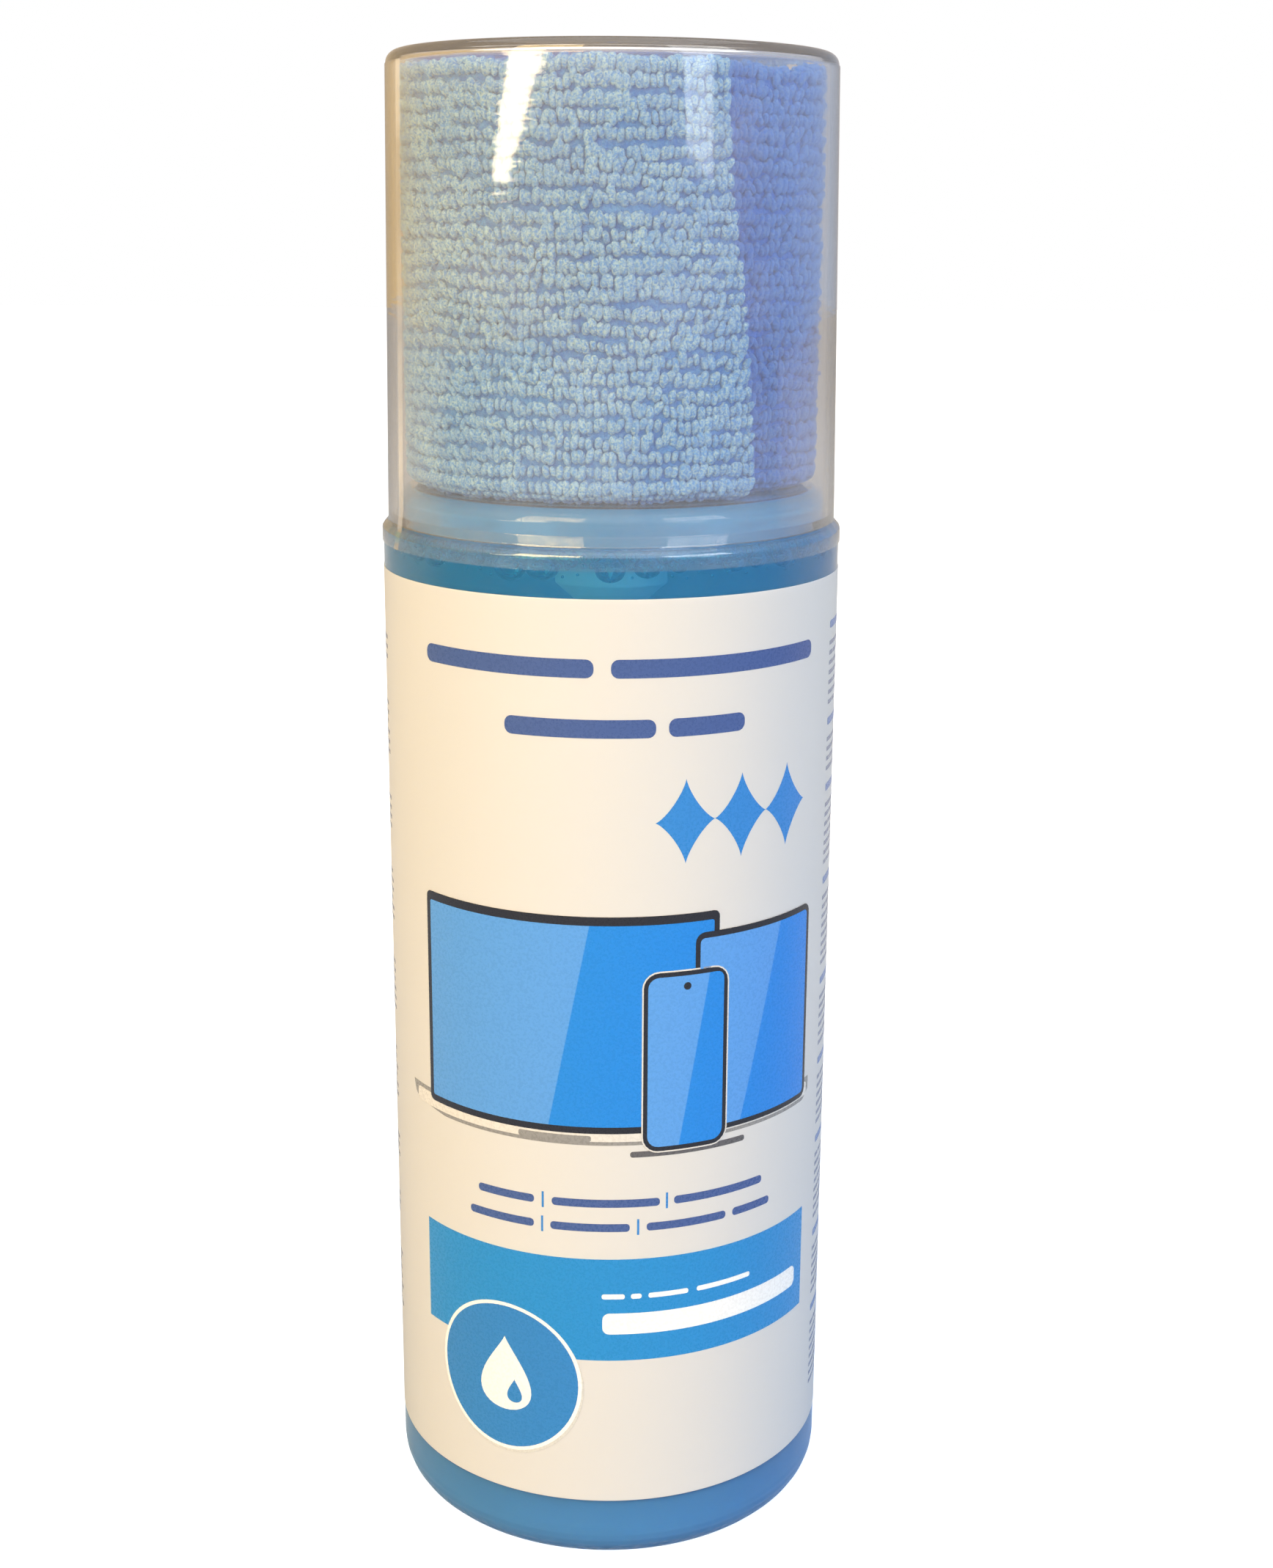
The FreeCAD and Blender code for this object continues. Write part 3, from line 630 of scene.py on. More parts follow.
def bottle_shape():
    """The blown shell with its domed base, spigot, shoulder, neck and thread."""
    inner = BOTTLE_RADIUS - WALL
    shoulder_top = SHOULDER_LEVEL + SHOULDER_RISE
    spigot_inner = SPIGOT_RADIUS - WALL
    outside = (
        (RING_RADIUS, FLOOR_LEVEL),
        (BOTTLE_RADIUS, FLOOR_LEVEL, BASE_FILLET),
        (BOTTLE_RADIUS, LEDGE_LEVEL, 1.2),
        (SPIGOT_RADIUS, LEDGE_LEVEL, 0.3),
        (SPIGOT_RADIUS, SHOULDER_LEVEL, 2.0),
        (NECK_RADIUS, shoulder_top, 1.5),
        (NECK_RADIUS, 145.3, 0.2),
        (13.4, 145.3, 0.3),
        (13.4, 146.7, 0.3),
        (NECK_RADIUS, 146.7, 0.2),
        (NECK_RADIUS, NECK_TOP, 0.4),
        (NECK_BORE, NECK_TOP, 0.4),
        (NECK_BORE, shoulder_top - WALL, 1.5),
        (spigot_inner, SHOULDER_LEVEL - WALL, 1.55),
        (spigot_inner, LEDGE_LEVEL - WALL, 0.3),
        (inner, LEDGE_LEVEL - WALL, 0.75),
        (inner, BASE_WALL, BASE_FILLET - WALL),
        (RING_RADIUS, BASE_WALL),
    )
    under = dome(RING_RADIUS, PUSH_UP)
    over = [(radius, BASE_WALL + height) for radius, height in reversed(under)]
    profile = under + rounded(outside) + over
    thread = thread_ridge(10.7, 11.95, THREAD_START, THREAD_PITCH, THREAD_TURNS)
    return merged(lathe(profile), thread)


POCKET_RADIUS = 5.0
POCKET_FLOOR = 137.0


def liquid_shape():
    """The liquid reaches a little way into the bottle's wall, so the two look wetted together.

    A pocket inside the pump cylinder's wall leaves room for the stem's stroke."""
    sunk = 0.1
    outer = BOTTLE_RADIUS - WALL + sunk
    throat = SPIGOT_RADIUS - WALL + sunk
    ledge = LEDGE_LEVEL - WALL + sunk
    floor = BASE_WALL - sunk
    under = [(radius, floor + height) for radius, height in dome(RING_RADIUS, PUSH_UP)]
    sides = (
        (RING_RADIUS, floor),
        (outer, floor, BASE_FILLET - WALL + sunk),
        (outer, ledge, 0.85),
        (throat, ledge, 0.2),
        (throat, LIQUID_TOP + sunk, 1.6),
        (POCKET_RADIUS, LIQUID_TOP + sunk),
        (POCKET_RADIUS, POCKET_FLOOR),
        (0.0, POCKET_FLOOR),
    )
    return lathe(under + rounded(sides))


LABEL_INNER = BOTTLE_RADIUS + 0.015
LABEL_OUTER = LABEL_RADIUS - 0.05


def label_shape():
    """The label's band; its lapped end at the back is a separate strip."""
    edge = 0.015
    band = (
        (LABEL_INNER, LABEL_BOTTOM, edge),
        (LABEL_OUTER, LABEL_BOTTOM, edge),
        (LABEL_OUTER, LABEL_TOP, edge),
        (LABEL_INNER, LABEL_TOP, edge),
    )
    return lathe(rounded(band, 2))


def curved_strip(low_degrees, high_degrees, bottom, top, inner, outer, steps=8, rows=24):
    """A closed strip on the bottle; inner and outer give its radius at a height."""
    low = math.radians(low_degrees)
    sweep = math.radians(high_degrees) - low
    points = []
    for row in range(rows + 1):
        height = bottom + (top - bottom) * row / rows
        for radius in (inner(height), outer(height)):
            for step in range(steps + 1):
                points.append(round_the_bottle(radius, low + sweep * step / steps, height))
    return points, slab_faces(steps + 1, rows)


# ---- the label's print

INKS = {
    "rim": (32, 30, 36),
    "screen_light": (86, 150, 220),
    "screen_deep": (28, 128, 216),
    "metal": (140, 138, 136),
    "pale": (216, 212, 206),
    "shade": (92, 90, 92),
    "heading": (66, 88, 144),
    "azure": (48, 128, 202),
    "band": (34, 134, 200),
    "badge": (46, 124, 190),
    "white": (240, 240, 238),
    "soft_shade": (206, 204, 198),
    "small": (120, 126, 150),
    "small_title": (92, 120, 172),
}
INK_STEP = 0.014
INK_DEPTH = 0.01
CURVE_STEP = 1.0


def plate(left, bottom, right, top, corner=0.0):
    """Outline of a rectangle with rounded corners."""
    corners = ((left, bottom), (right, bottom), (right, top), (left, top))
    if corner:
        return rounded([(*point, corner) for point in corners], 5)
    return list(corners)


def disc(middle, height, radius, steps=72):
    """Outline of a circle."""
    angles = [TURN * step / steps for step in range(steps)]
    return [(middle + radius * math.cos(a), height + radius * math.sin(a)) for a in angles]


def sparkle(middle, height, half_width, half_height, steps=12):
    """Outline of a four-pointed star with hollow sides."""
    points = []
    for step in range(4 * steps):
        angle = TURN * step / (4 * steps)
        across = math.copysign(abs(math.cos(angle)) ** 2.6, math.cos(angle))
        up = math.copysign(abs(math.sin(angle)) ** 2.6, math.sin(angle))
        points.append((middle + half_width * across, height + half_height * up))
    return points


def drop(middle, height, half_width, half_height, steps=40):
    """Outline of a drop of liquid."""
    points = []
    for step in range(steps):
        angle = TURN * step / steps
        across = math.sin(angle) * math.sin(angle / 2) ** 1.5 * 1.3
        points.append((middle + half_width * across, height + half_height * math.cos(angle)))
    return points


def printed(name, outlines, ink, layer):
    """Thin closed patches of a named ink on the label's curve; outlines hold (arc, height)."""
    work = bmesh.new()
    for outline in outlines:
        face = work.faces.new([work.verts.new((arc, 0.0, height)) for arc, height in outline])
        face.normal_update()
        if face.normal.y > 0:
            face.normal_flip()
    bmesh.ops.triangulate(work, faces=work.faces)
    arcs = [vertex.co.x for vertex in work.verts]
    for cut in range(math.ceil(min(arcs) / CURVE_STEP), math.ceil(max(arcs) / CURVE_STEP)):
        everything = work.verts[:] + work.edges[:] + work.faces[:]
        line = (cut * CURVE_STEP, 0.0, 0.0)
        bmesh.ops.bisect_plane(work, geom=everything, dist=1e-5, plane_co=line, plane_no=(1, 0, 0))
    bmesh.ops.solidify(work, geom=work.faces[:], thickness=-1.0)
    depths = [vertex.co.y for vertex in work.verts]
    back, front = max(depths), min(depths)
    for vertex in work.verts:
        lift = (back - vertex.co.y) / (back - front) * INK_DEPTH
        radius = LABEL_OUTER + INK_STEP * layer - INK_DEPTH + lift
        vertex.co = Vector(round_the_bottle(radius, vertex.co.x / LABEL_OUTER, vertex.co.z)) * MM
    bmesh.ops.recalc_face_normals(work, faces=work.faces)
    mesh = bpy.data.meshes.new(name)
    work.to_mesh(mesh)
    work.free()
    add_object(name, mesh, bpy.data.materials["ink_" + ink], "bottle")


def word_bars(words, height, thickness):
    """One rounded bar for each (left, right) word."""
    low = height - thickness / 2
    return [plate(left, low, right, low + thickness, thickness * 0.42) for left, right in words]


def device(name, box, inset, corner, split, layer):
    """A screen: dark rim and a panel in two tones that meet along a slanting line."""
    left, bottom, right, top = box
    side, low, high = inset
    printed(name + "_rim", [plate(left, bottom, right, top, corner)], "rim", layer)
    start, base, end, roof = left + side, bottom + low, right - side, top - high
    split_top, split_bottom = split
    curve = max(corner - side, 0.3)
    slant = (split_bottom, base), (split_top, roof)
    bright = ((start, base, curve), *slant, (start, roof, curve))
    deep = (slant[0], (end, base, curve), (end, roof, curve), slant[1])
    printed(name + "_bright", [rounded(bright, 5)], "screen_light", layer + 1)
    printed(name + "_deep", [rounded(deep, 5)], "screen_deep", layer + 1)


def print_plain_shapes():
    """Single plates, discs and drops: parts of the devices, the azure band and its round badge."""
    shapes = (
        ("laptop_lip", plate, (-30.4, 61.5, 32.0, 63.4, 0.5), "pale", 2),
        ("laptop_notch", plate, (-12.0, 61.5, -2.4, 62.3, 0.3), "metal", 3),
        ("phone_shade", plate, (2.6, 59.3, 18.6, 60.1, 0.35), "shade", 1),
        ("phone_edge", plate, (4.0, 59.8, 15.7, 84.2, 2.2), "pale", 6),
        ("phone_lens", disc, (9.85, 82.0, 0.5, 24), "rim", 9),
        ("band", plate, (-28.3, 30.6, 31.9, 45.1), "band", 1),
        ("bar", plate, (-0.9, 34.4, 29.8, 37.4, 0.9), "white", 2),
        ("badge_shade", disc, (-14.0, 26.1, 10.7), "soft_shade", 2),
        ("badge_edge", disc, (-14.3, 26.5, 10.75), "white", 3),
        ("badge", disc, (-14.3, 26.5, 10.25), "badge", 4),
        ("badge_drop", drop, (-14.3, 27.0, 4.2, 5.4), "white", 5),
        ("badge_glint", drop, (-12.9, 24.6, 1.2, 1.7), "badge", 6),
    )
    for name, outline, measures, ink, layer in shapes:
        printed("print_" + name, [outline(*measures)], ink, layer)


def print_devices():
    """The laptop's base, then the screens of a laptop, a tablet and a phone."""
    base = (
        (-31.6, 64.0), (-31.0, 62.0, 1.5), (-24.0, 61.0, 6.0),
        (31.0, 61.0, 1.5), (32.6, 62.2), (32.6, 64.0),
    )
    printed("print_laptop_base", [rounded(base, 6)], "metal", 1)
    device("print_laptop", (-27.1, 62.6, 14.2, 91.5), (0.75, 0.9, 1.15), 0.8, (-2.6, -7.9), 3)
    device("print_tablet", (10.9, 61.7, 31.3, 88.8), (0.65, 0.7, 0.8), 1.3, (24.4, 17.8), 5)
    device("print_phone", (4.2, 60.0, 15.5, 84.0), (0.55, 0.6, 0.6), 2.0, (12.9, 8.9), 7)


def print_texts():
    """Text as plain bars, a pattern of sparkles and the bars that divide the small words."""
    first = word_bars(((-26.0, -2.1), (0.0, 30.0)), 122.7, 2.3)
    second = word_bars(((-13.4, 5.5), (7.1, 17.4)), 115.3, 2.3)
    small = word_bars(((-18.1, -9.9), (-7.5, 6.5), (8.4, 21.8)), 52.95, 1.1)
    smaller = word_bars(((-19.5, -9.95), (-7.7, 2.6), (4.8, 15.8), (16.9, 23.3)), 49.55, 1.1)
    slogan = word_bars(((-1.0, 2.0), (2.8, 4.2), (5.1, 10.5), (11.7, 20.0)), 39.8, 0.7)
    sparkles = [sparkle(middle, 103.4, 3.9, 5.4) for middle in (9.4, 17.2, 25.0)]
    dividers = (-8.85, 51.9), (7.3, 51.9), (-8.95, 48.5), (3.55, 48.5)
    bars = [plate(left, level, left + 0.28, level + 2.2) for left, level in dividers]
    printed("print_heading", first + second, "heading", 1)
    printed("print_sparkles", sparkles, "azure", 1)
    printed("print_small_words", small + smaller, "heading", 1)
    printed("print_dividers", bars, "azure", 1)
    printed("print_slogan", slogan, "white", 2)


COLUMNS = (36.8, 53.0, 69.2, 97.6, 115.8, 134.0)
COLUMN_TOP = 124.0
COLUMN_FOOT = 24.0
COLUMN_WIDTH = 13.4
WORD_GAP = 0.4


def print_small_columns():
    """Columns of small bars on the sides and back, as on any label's fine print."""
    rng = random.Random(11)
    lines = []
    titles = []
    for left in COLUMNS:
        height = COLUMN_TOP
        while height > COLUMN_FOOT:
            paragraph = rng.randint(4, 8)
            titles.append(plate(left, height, left + rng.uniform(5.0, 9.0), height + 1.0, 0.3))
            height -= 2.2
            for line in range(paragraph):
                start = left
                end = left + (COLUMN_WIDTH if line < paragraph - 1 else rng.uniform(4.0, 11.0))
                while start < end - 3 * WORD_GAP:
                    stop = min(start + rng.uniform(1.4, 3.6), end)
                    lines.append(plate(start, height, stop, height + 0.55))
                    start = stop + WORD_GAP
                height -= 1.3
            height -= 1.5
    printed("print_fine_lines", lines, "small", 1)
    printed("print_fine_titles", titles, "small_title", 1)


# ---- pump


GRIP_RADIUS = 14.0
GRIP_BOTTOM = 148.0
GRIP_TOP = 161.6
GRIP_RIBS = 48
CLOSURE_BORE = 12.45
CLOSURE_HOLE = 7.2
CLOSURE_ROOF = 161.8


def ribbed(radius, height, angle):
    """The closure's grip: rounded ribs on its side."""
    if radius < GRIP_RADIUS - 0.01:
        return radius
    fade = smooth_step(height - GRIP_BOTTOM) * smooth_step(GRIP_TOP - height)
    wave = max(0.0, math.cos(GRIP_RIBS * angle)) ** 0.7
    return radius + 0.3 * wave * fade


def closure_shape():
    """Screw closure with grip ribs and its inner thread."""
    heights = [GRIP_BOTTOM + rise for rise in (0.0, 0.35, 0.7, 1.0)]
    heights += [GRIP_TOP - drop_by for drop_by in (1.0, 0.65, 0.3, 0.0)]
    outside = (
        (GRIP_RADIUS, CLOSURE_ROOF),
        (GRIP_RADIUS, CLOSURE_TOP, 0.8),
        (CLOSURE_HOLE, CLOSURE_TOP, 0.3),
        (CLOSURE_HOLE, CLOSURE_ROOF, 0.2),
        (CLOSURE_BORE, CLOSURE_ROOF, 0.5),
        (CLOSURE_BORE, CLOSURE_BOTTOM, 0.25),
        (GRIP_RADIUS, CLOSURE_BOTTOM, 0.3),
    )
    profile = [(GRIP_RADIUS, height) for height in heights] + rounded(outside, 5)
    start = THREAD_START - THREAD_PITCH / 2
    thread = thread_ridge(12.65, 11.25, start, THREAD_PITCH, THREAD_TURNS)
    return merged(lathe(profile, 480, ribbed), thread)


def housing_shape():
    """Pump cylinder with its flange, dip tube socket and ball seat."""
    outline = (
        (2.05, 118.0, 0.2),
        (3.2, 118.0, 0.3),
        (3.2, 126.9, 0.4),
        (5.5, 129.5, 0.5),
        (5.5, 161.0, 0.3),
        (11.0, 161.0, 0.15),
        (11.0, 161.7, 0.15),
        (4.5, 161.7, 0.15),
        (4.5, 129.7, 0.4),
        (2.2, 129.7, 0.1),
        (0.9, 128.4, 0.1),
        (0.9, 126.0, 0.1),
        (2.05, 126.0, 0.1),
    )
    return lathe(rounded(outline, 4), 128)


HEAD_RADIUS = 9.4
SKIRT_BORE = 8.3
REST_RADIUS = 8.0
REST_DEPTH = 1.4
HUB_RADIUS = 3.4
HUB_BOTTOM = 171.2
SKIRT_ROOF = 176.2
STEM_HOLE = 2.05
STEM_STOP = 175.2
NOZZLE_POCKET_RADIUS = 2.4
NOZZLE_POCKET_DEPTH = 6.0


def head_shape():
    """Spray head with its dished finger rest, skirt and hub, before the nozzle's pocket."""
    dish = [(radius, HEAD_TOP - height) for radius, height in dome(REST_RADIUS, REST_DEPTH, 14)]
    outside = (
        (REST_RADIUS, HEAD_TOP, 0.5),
        (HEAD_RADIUS, HEAD_TOP, 0.9),
        (HEAD_RADIUS, HEAD_BOTTOM, 0.25),
        (SKIRT_BORE, HEAD_BOTTOM, 0.25),
        (SKIRT_BORE, SKIRT_ROOF, 0.5),
        (HUB_RADIUS, SKIRT_ROOF, 0.5),
        (HUB_RADIUS, HUB_BOTTOM, 0.2),
        (STEM_HOLE, HUB_BOTTOM, 0.2),
        (STEM_HOLE, STEM_STOP),
        (0.0, STEM_STOP),
    )
    return lathe(dish + rounded(outside), 192)


def cut_nozzle_pocket(head):
    """Cut the round pocket for the nozzle into the head's front."""
    radius = NOZZLE_POCKET_RADIUS * MM
    bpy.ops.mesh.primitive_cylinder_add(vertices=64, radius=radius, depth=NOZZLE_POCKET_DEPTH * MM)
    cutter = bpy.context.object
    front = Matrix.Translation((0.0, -HEAD_RADIUS * MM, NOZZLE_LEVEL * MM))
    cutter.matrix_world = front @ Matrix.Rotation(math.pi / 2, 4, "X")
    cut = head.modifiers.new("pocket", "BOOLEAN")
    cut.object = cutter
    cut.operation = "DIFFERENCE"
    cut.solver = "EXACT"
    bpy.context.view_layer.update()
    evaluated = head.evaluated_get(bpy.context.evaluated_depsgraph_get())
    finished = bpy.data.meshes.new_from_object(evaluated)
    head.modifiers.clear()
    head.data = finished
    finished.set_sharp_from_angle(angle=CREASE)
    bpy.data.objects.remove(cutter)


def spring_shape(radius, wire, bottom, top, turns, steps=36):
    """A compression spring whose end turns lie nearly flat."""
    path = []
    total = int(turns * steps)
    low = bottom + wire
    high = top - wire
    for step in range(total + 1):
        turn = step / steps
        share = smooth_step((turn - 0.6) / (turns - 1.2)) * 0.35
        share += min(max((turn - 0.75) / (turns - 1.5), 0.0), 1.0) * 0.65
        angle = TURN * turn
        path.append(round_the_bottle(radius, angle, low + (high - low) * share))
    return tube(path, wire, 10)


# ---- overcap and film


CAP_TOP_RADIUS = 28.13


def cap_side(height):
    """Outer radius of the overcap's tapering side."""
    return CAP_RADIUS + (CAP_TOP_RADIUS - CAP_RADIUS) * (height - CAP_BOTTOM) / (CAP_TOP - CAP_BOTTOM)


def cap_shape():
    """Clear overcap with a lead-in at its rim and the gate's mark on its roof."""
    wall = 1.0
    roof = CAP_TOP - 1.2
    outline = (
        (0.0, CAP_TOP - 0.18),
        (1.1, CAP_TOP - 0.18, 0.1),
        (1.5, CAP_TOP, 0.1),
        (cap_side(CAP_TOP), CAP_TOP, 1.5),
        (CAP_RADIUS, CAP_BOTTOM, 0.18),
        (CAP_RADIUS - 0.5, CAP_BOTTOM, 0.12),
        (cap_side(CAP_BOTTOM + 1.2) - wall, CAP_BOTTOM + 1.2, 0.5),
        (cap_side(roof) - wall, roof, 0.6),
        (0.0, roof),
    )
    return lathe(rounded(outline, 9), 320)


def film_path(height):
    """Inner radius of the film: on the bottle, in over the ledge, then up the overcap."""
    on_bottle = FILM_RADIUS - 0.06
    on_cap = cap_side(height) + 0.04
    return on_bottle + (on_cap - on_bottle) * smooth_step((height - 136.0) / 1.3)


def pulled(radius, height, angle):
    """The film's shallow pleats where it shrinks in over the ledge."""
    near = math.exp(-(((height - 136.6) / 0.9) ** 2))
    return radius - 0.03 * near * (1 + math.sin(46 * angle + 3 * math.sin(5 * angle)))


def film_shape():
    """Shrink film round the overcap and the top of the bottle."""
    thickness = 0.06
    heights = [FILM_BOTTOM, 135.2, 135.7, 136.0, 136.2, 136.4, 136.6, 136.8, 137.0, 137.15, 137.3, 137.8]
    heights += [140.0 + 4.0 * step for step in range(14)] + [FILM_TOP]
    outside = [(film_path(height) + thickness, height) for height in heights]
    inside = [(film_path(height), height) for height in reversed(heights)]
    return lathe(outside + inside, 320, pulled)


# ---- terry cloth

LAYER = 1.1
THICKNESS = 0.9
CLOTH_FACE = 26.0
BEND_LEVEL = 144.3
EDGE_LEVEL = 192.0
STRIP_TURNS = 1.42
END_ANGLE = math.radians(34.5)
END_LEAN = math.radians(9.0)
END_WAVE = math.radians(1.2)
LEAN_REACH = math.radians(80.0)
MIDDLE_LEVEL = 167.0
SINK_DEPTH = 4.6
SINK_START = 314.0
SINK_LENGTH = 40.0


def cloth_face(travel):
    """Radius of the strip's outer face after a travel round the roll, in radians."""
    return CLOTH_FACE - SINK_DEPTH * smooth_step((math.degrees(travel) - SINK_START) / SINK_LENGTH)


def cloth_angle(travel, height):
    """Angle from the front; the strip's outer end leans."""
    lean = END_LEAN * (MIDDLE_LEVEL - height) / 49.0 + END_WAVE * math.sin((height - 140.0) / 9.0)
    return END_ANGLE + lean * smooth_step(1 - travel / LEAN_REACH) - travel


def cloth_point(travel, depth, height):
    """A point of the rolled strip."""
    soft = 0.16 * noise(Vector((travel * 3.0, height / 11.0, 4.0)))
    lift = 0.35 * noise(Vector((travel * 1.7, 9.0, 2.0))) * (height - MIDDLE_LEVEL) / 25.0
    radius = cloth_face(travel) + soft - depth
    return round_the_bottle(radius, cloth_angle(travel, height), height + lift)


def cloth_section():
    """The folded cloth cut across: stations (depth, height, normal depth, normal height)."""
    depths = [LAYER * (layer + 0.5) for layer in range(4)]
    middle = (depths[0] + depths[3]) / 2
    top = (depths[2] + depths[3]) / 2
    rows = 20
    rise = [BEND_LEVEL + (EDGE_LEVEL - BEND_LEVEL) * row / rows for row in range(rows + 1)]
    stations = [(depths[0], height, -1.0, 0.0) for height in reversed(rise)]
    stations += bend(middle, BEND_LEVEL, depths[3] - middle, (-1, -1, 1), 10)
    stations += [(depths[3], height, 1.0, 0.0) for height in rise[:-1]]
    stations += bend(top, rise[-2], (depths[3] - depths[2]) / 2, (1, 1, 1), 6)
    stations += [(depths[2], height, -1.0, 0.0) for height in reversed(rise[:-2])]
    stations += bend(middle, BEND_LEVEL, (depths[2] - depths[1]) / 2, (1, -1, -1), 6)
    stations += [(depths[1], height, 1.0, 0.0) for height in rise]
    return stations


def bend(depth, height, radius, turn, steps):
    """Stations round a fold; turn holds the signs of its depth, its height and its normal."""
    inwards, upwards, side = turn
    stations = []
    for step in range(1, steps):
        angle = math.pi * step / steps
        out = (inwards * math.cos(angle), upwards * math.sin(angle))
        stations.append((depth + radius * out[0], height + radius * out[1], side * out[0], side * out[1]))
    return stations


def cloth_shape(columns=208):
    """The folded strip rolled round the pump: two faces, closed at every free edge."""
    section = cloth_section()
    points = []
    for column in range(columns + 1):
        travel = TURN * STRIP_TURNS * column / columns
        for shift in (THICKNESS / 2, -THICKNESS / 2):
            for depth, height, out_depth, out_height in section:
                points.append(cloth_point(travel, depth + out_depth * shift, height + out_height * shift))
    return points, slab_faces(len(section), columns)


def loop_shape():
    """A low-count rounded loop of pile, pinched at its middle."""
    points, faces = ball_shape(2)
    pinched = []
    for point in points:
        squeeze = 1 - 0.14 * math.exp(-((point.z / 0.35) ** 2))
        pinched.append(Vector((point.x * squeeze, point.y, point.z)))
    return pinched, faces


UPRIGHT = Vector((0.0, 0.0, 1.0))
LOOP_PITCH = 0.83
ROW_STEP = 1.84
FOLD_RADIUS = 2.1
FACE_LOOP = (0.56, 0.98, 0.56)
FOLD_LOOP = (0.6, 0.8, 0.5)
EDGE_LOOP = (0.6, 0.62, 0.55)
END_LOOP = (0.6, 0.95, 0.5)


def pile_shape():
    """Loops of pile on every face of the roll that shows."""
    rng = random.Random(5)
    unit_points, unit_faces = loop_shape()
    points = []
    faces = []

    def add_loop(centre, across, up, out, scale):
        size = 1 + rng.uniform(-0.22, 0.2)
        spin = Matrix.Rotation(rng.gauss(0.0, 0.24), 3, out)
        tilt = Matrix.Rotation(rng.gauss(0.25, 0.17), 3, across)
        a = spin @ across * scale[0] * size
        b = tilt @ (spin @ up) * scale[1] * size * rng.uniform(0.9, 1.1)
        c = out * scale[2] * rng.uniform(0.85, 1.15)
        append_shape(points, faces, [centre + a * p.x + b * p.z + c * p.y for p in unit_points], unit_faces)

    def add_row(travels, depth, height, out_depth, out_height, scale):
        for travel in travels:
            travel += rng.uniform(-0.006, 0.006)
            drift = 0.8 * noise(Vector((travel * 2.3, height * 0.25, 1.0))) + rng.gauss(0.0, 0.2)
            drift *= smooth_step((height - BEND_LEVEL) / 4.0)
            here = Vector(cloth_point(travel, depth, height + drift))
            ahead = Vector(cloth_point(travel + 0.01, depth, height + drift))
            across = (here - ahead).normalized()
            outward = UPRIGHT.cross(across).normalized() * -1
            if outward.dot(Vector((here.x, here.y, 0.0))) < 0:
                outward.negate()
            out = (outward * -out_depth + UPRIGHT * out_height).normalized()
            add_loop(here, across, out.cross(across).normalized(), out, scale)

    pitch = LOOP_PITCH / CLOTH_FACE
    outer_turn = [pitch * step for step in range(int(TURN / pitch))]
    whole = [pitch * step for step in range(int(TURN * STRIP_TURNS / pitch))]
    height = BEND_LEVEL - 0.6
    while height < EDGE_LEVEL:
        add_row(outer_turn, LAYER * 0.5 - THICKNESS / 2 - 0.18, height, -1.0, 0.0, FACE_LOOP)
        height += ROW_STEP
    for share in (0.1, 0.3, 0.5, 0.72, 0.9):
        out_depth = -math.cos(math.pi * share)
        out_height = -math.sin(math.pi * share)
        depth = LAYER * 2 + FOLD_RADIUS * out_depth
        add_row(whole, depth, BEND_LEVEL + FOLD_RADIUS * out_height, out_depth, out_height, FOLD_LOOP)
    for layer, level in ((0, EDGE_LEVEL), (1, EDGE_LEVEL), (3, EDGE_LEVEL - 1.4), (2, EDGE_LEVEL - 1.4)):
        add_row(whole, LAYER * (layer + 0.5), level + 0.15, 0.0, 1.0, EDGE_LOOP)
    for layer in range(4):
        height = BEND_LEVEL
        while height < EDGE_LEVEL:
            here = Vector(cloth_point(-0.004, LAYER * (layer + 0.5), height))
            outward = Vector((here.x, here.y, 0.0)).normalized()
            add_loop(here, outward, UPRIGHT, UPRIGHT.cross(outward), END_LOOP)
            height += 1.93
    return points, faces


# ---- bubbles and drops


def bubble_shape():
    """Air bubbles caught under the ledge, large ones hanging below small ones."""
    rng = random.Random(23)
    unit_points, unit_faces = ball_shape(3)
    points = []
    faces = []
    inner = BOTTLE_RADIUS - WALL
    ceiling = LEDGE_LEVEL - WALL

    def add_bubble(angle, radius, away, below, flat):
        centre = Vector(round_the_bottle(inner - away - radius, angle, ceiling - below - radius * flat))
        moved = [centre + Vector((p.x, p.y, p.z * flat)) * radius for p in unit_points]
        append_shape(points, faces, moved, unit_faces)

    for sizes, away, below, gap in (
        ((0.9, 1.2, 1.5, 1.9), 0.03, 0.25, 1.2),
        ((0.4, 0.55, 0.7), 0.02, 0.05, 0.25),
        ((0.25, 0.35, 0.45), 0.02, 0.9, 0.5),
        ((0.2, 0.3), 0.02, 2.0, 1.8),
    ):
        angle = rng.uniform(0.0, 0.1)
        while angle < TURN:
            radius = rng.choice(sizes) * rng.uniform(0.85, 1.15)
            angle += (radius + rng.uniform(0.0, gap)) / inner
            drop_by = below + rng.uniform(0.0, below * 0.4)
            add_bubble(angle, radius, away, drop_by, rng.uniform(0.72, 0.95))
            angle += (radius + rng.uniform(0.0, gap)) / inner
    return points, faces


def speck_shape():
    """Tiny bubbles that cling to the inside of the spigot."""
    rng = random.Random(31)
    unit_points, unit_faces = ball_shape(2)
    points = []
    faces = []
    for _ in range(90):
        radius = rng.choice((0.12, 0.18, 0.3, 0.42))
        height = rng.uniform(LEDGE_LEVEL + 0.2, SHOULDER_LEVEL - 2.3)
        reach = SPIGOT_RADIUS - WALL - radius - 0.02
        centre = Vector(round_the_bottle(reach, rng.uniform(0.0, TURN), height))
        append_shape(points, faces, [centre + point * radius for point in unit_points], unit_faces)
    return points, faces


# ---- put together


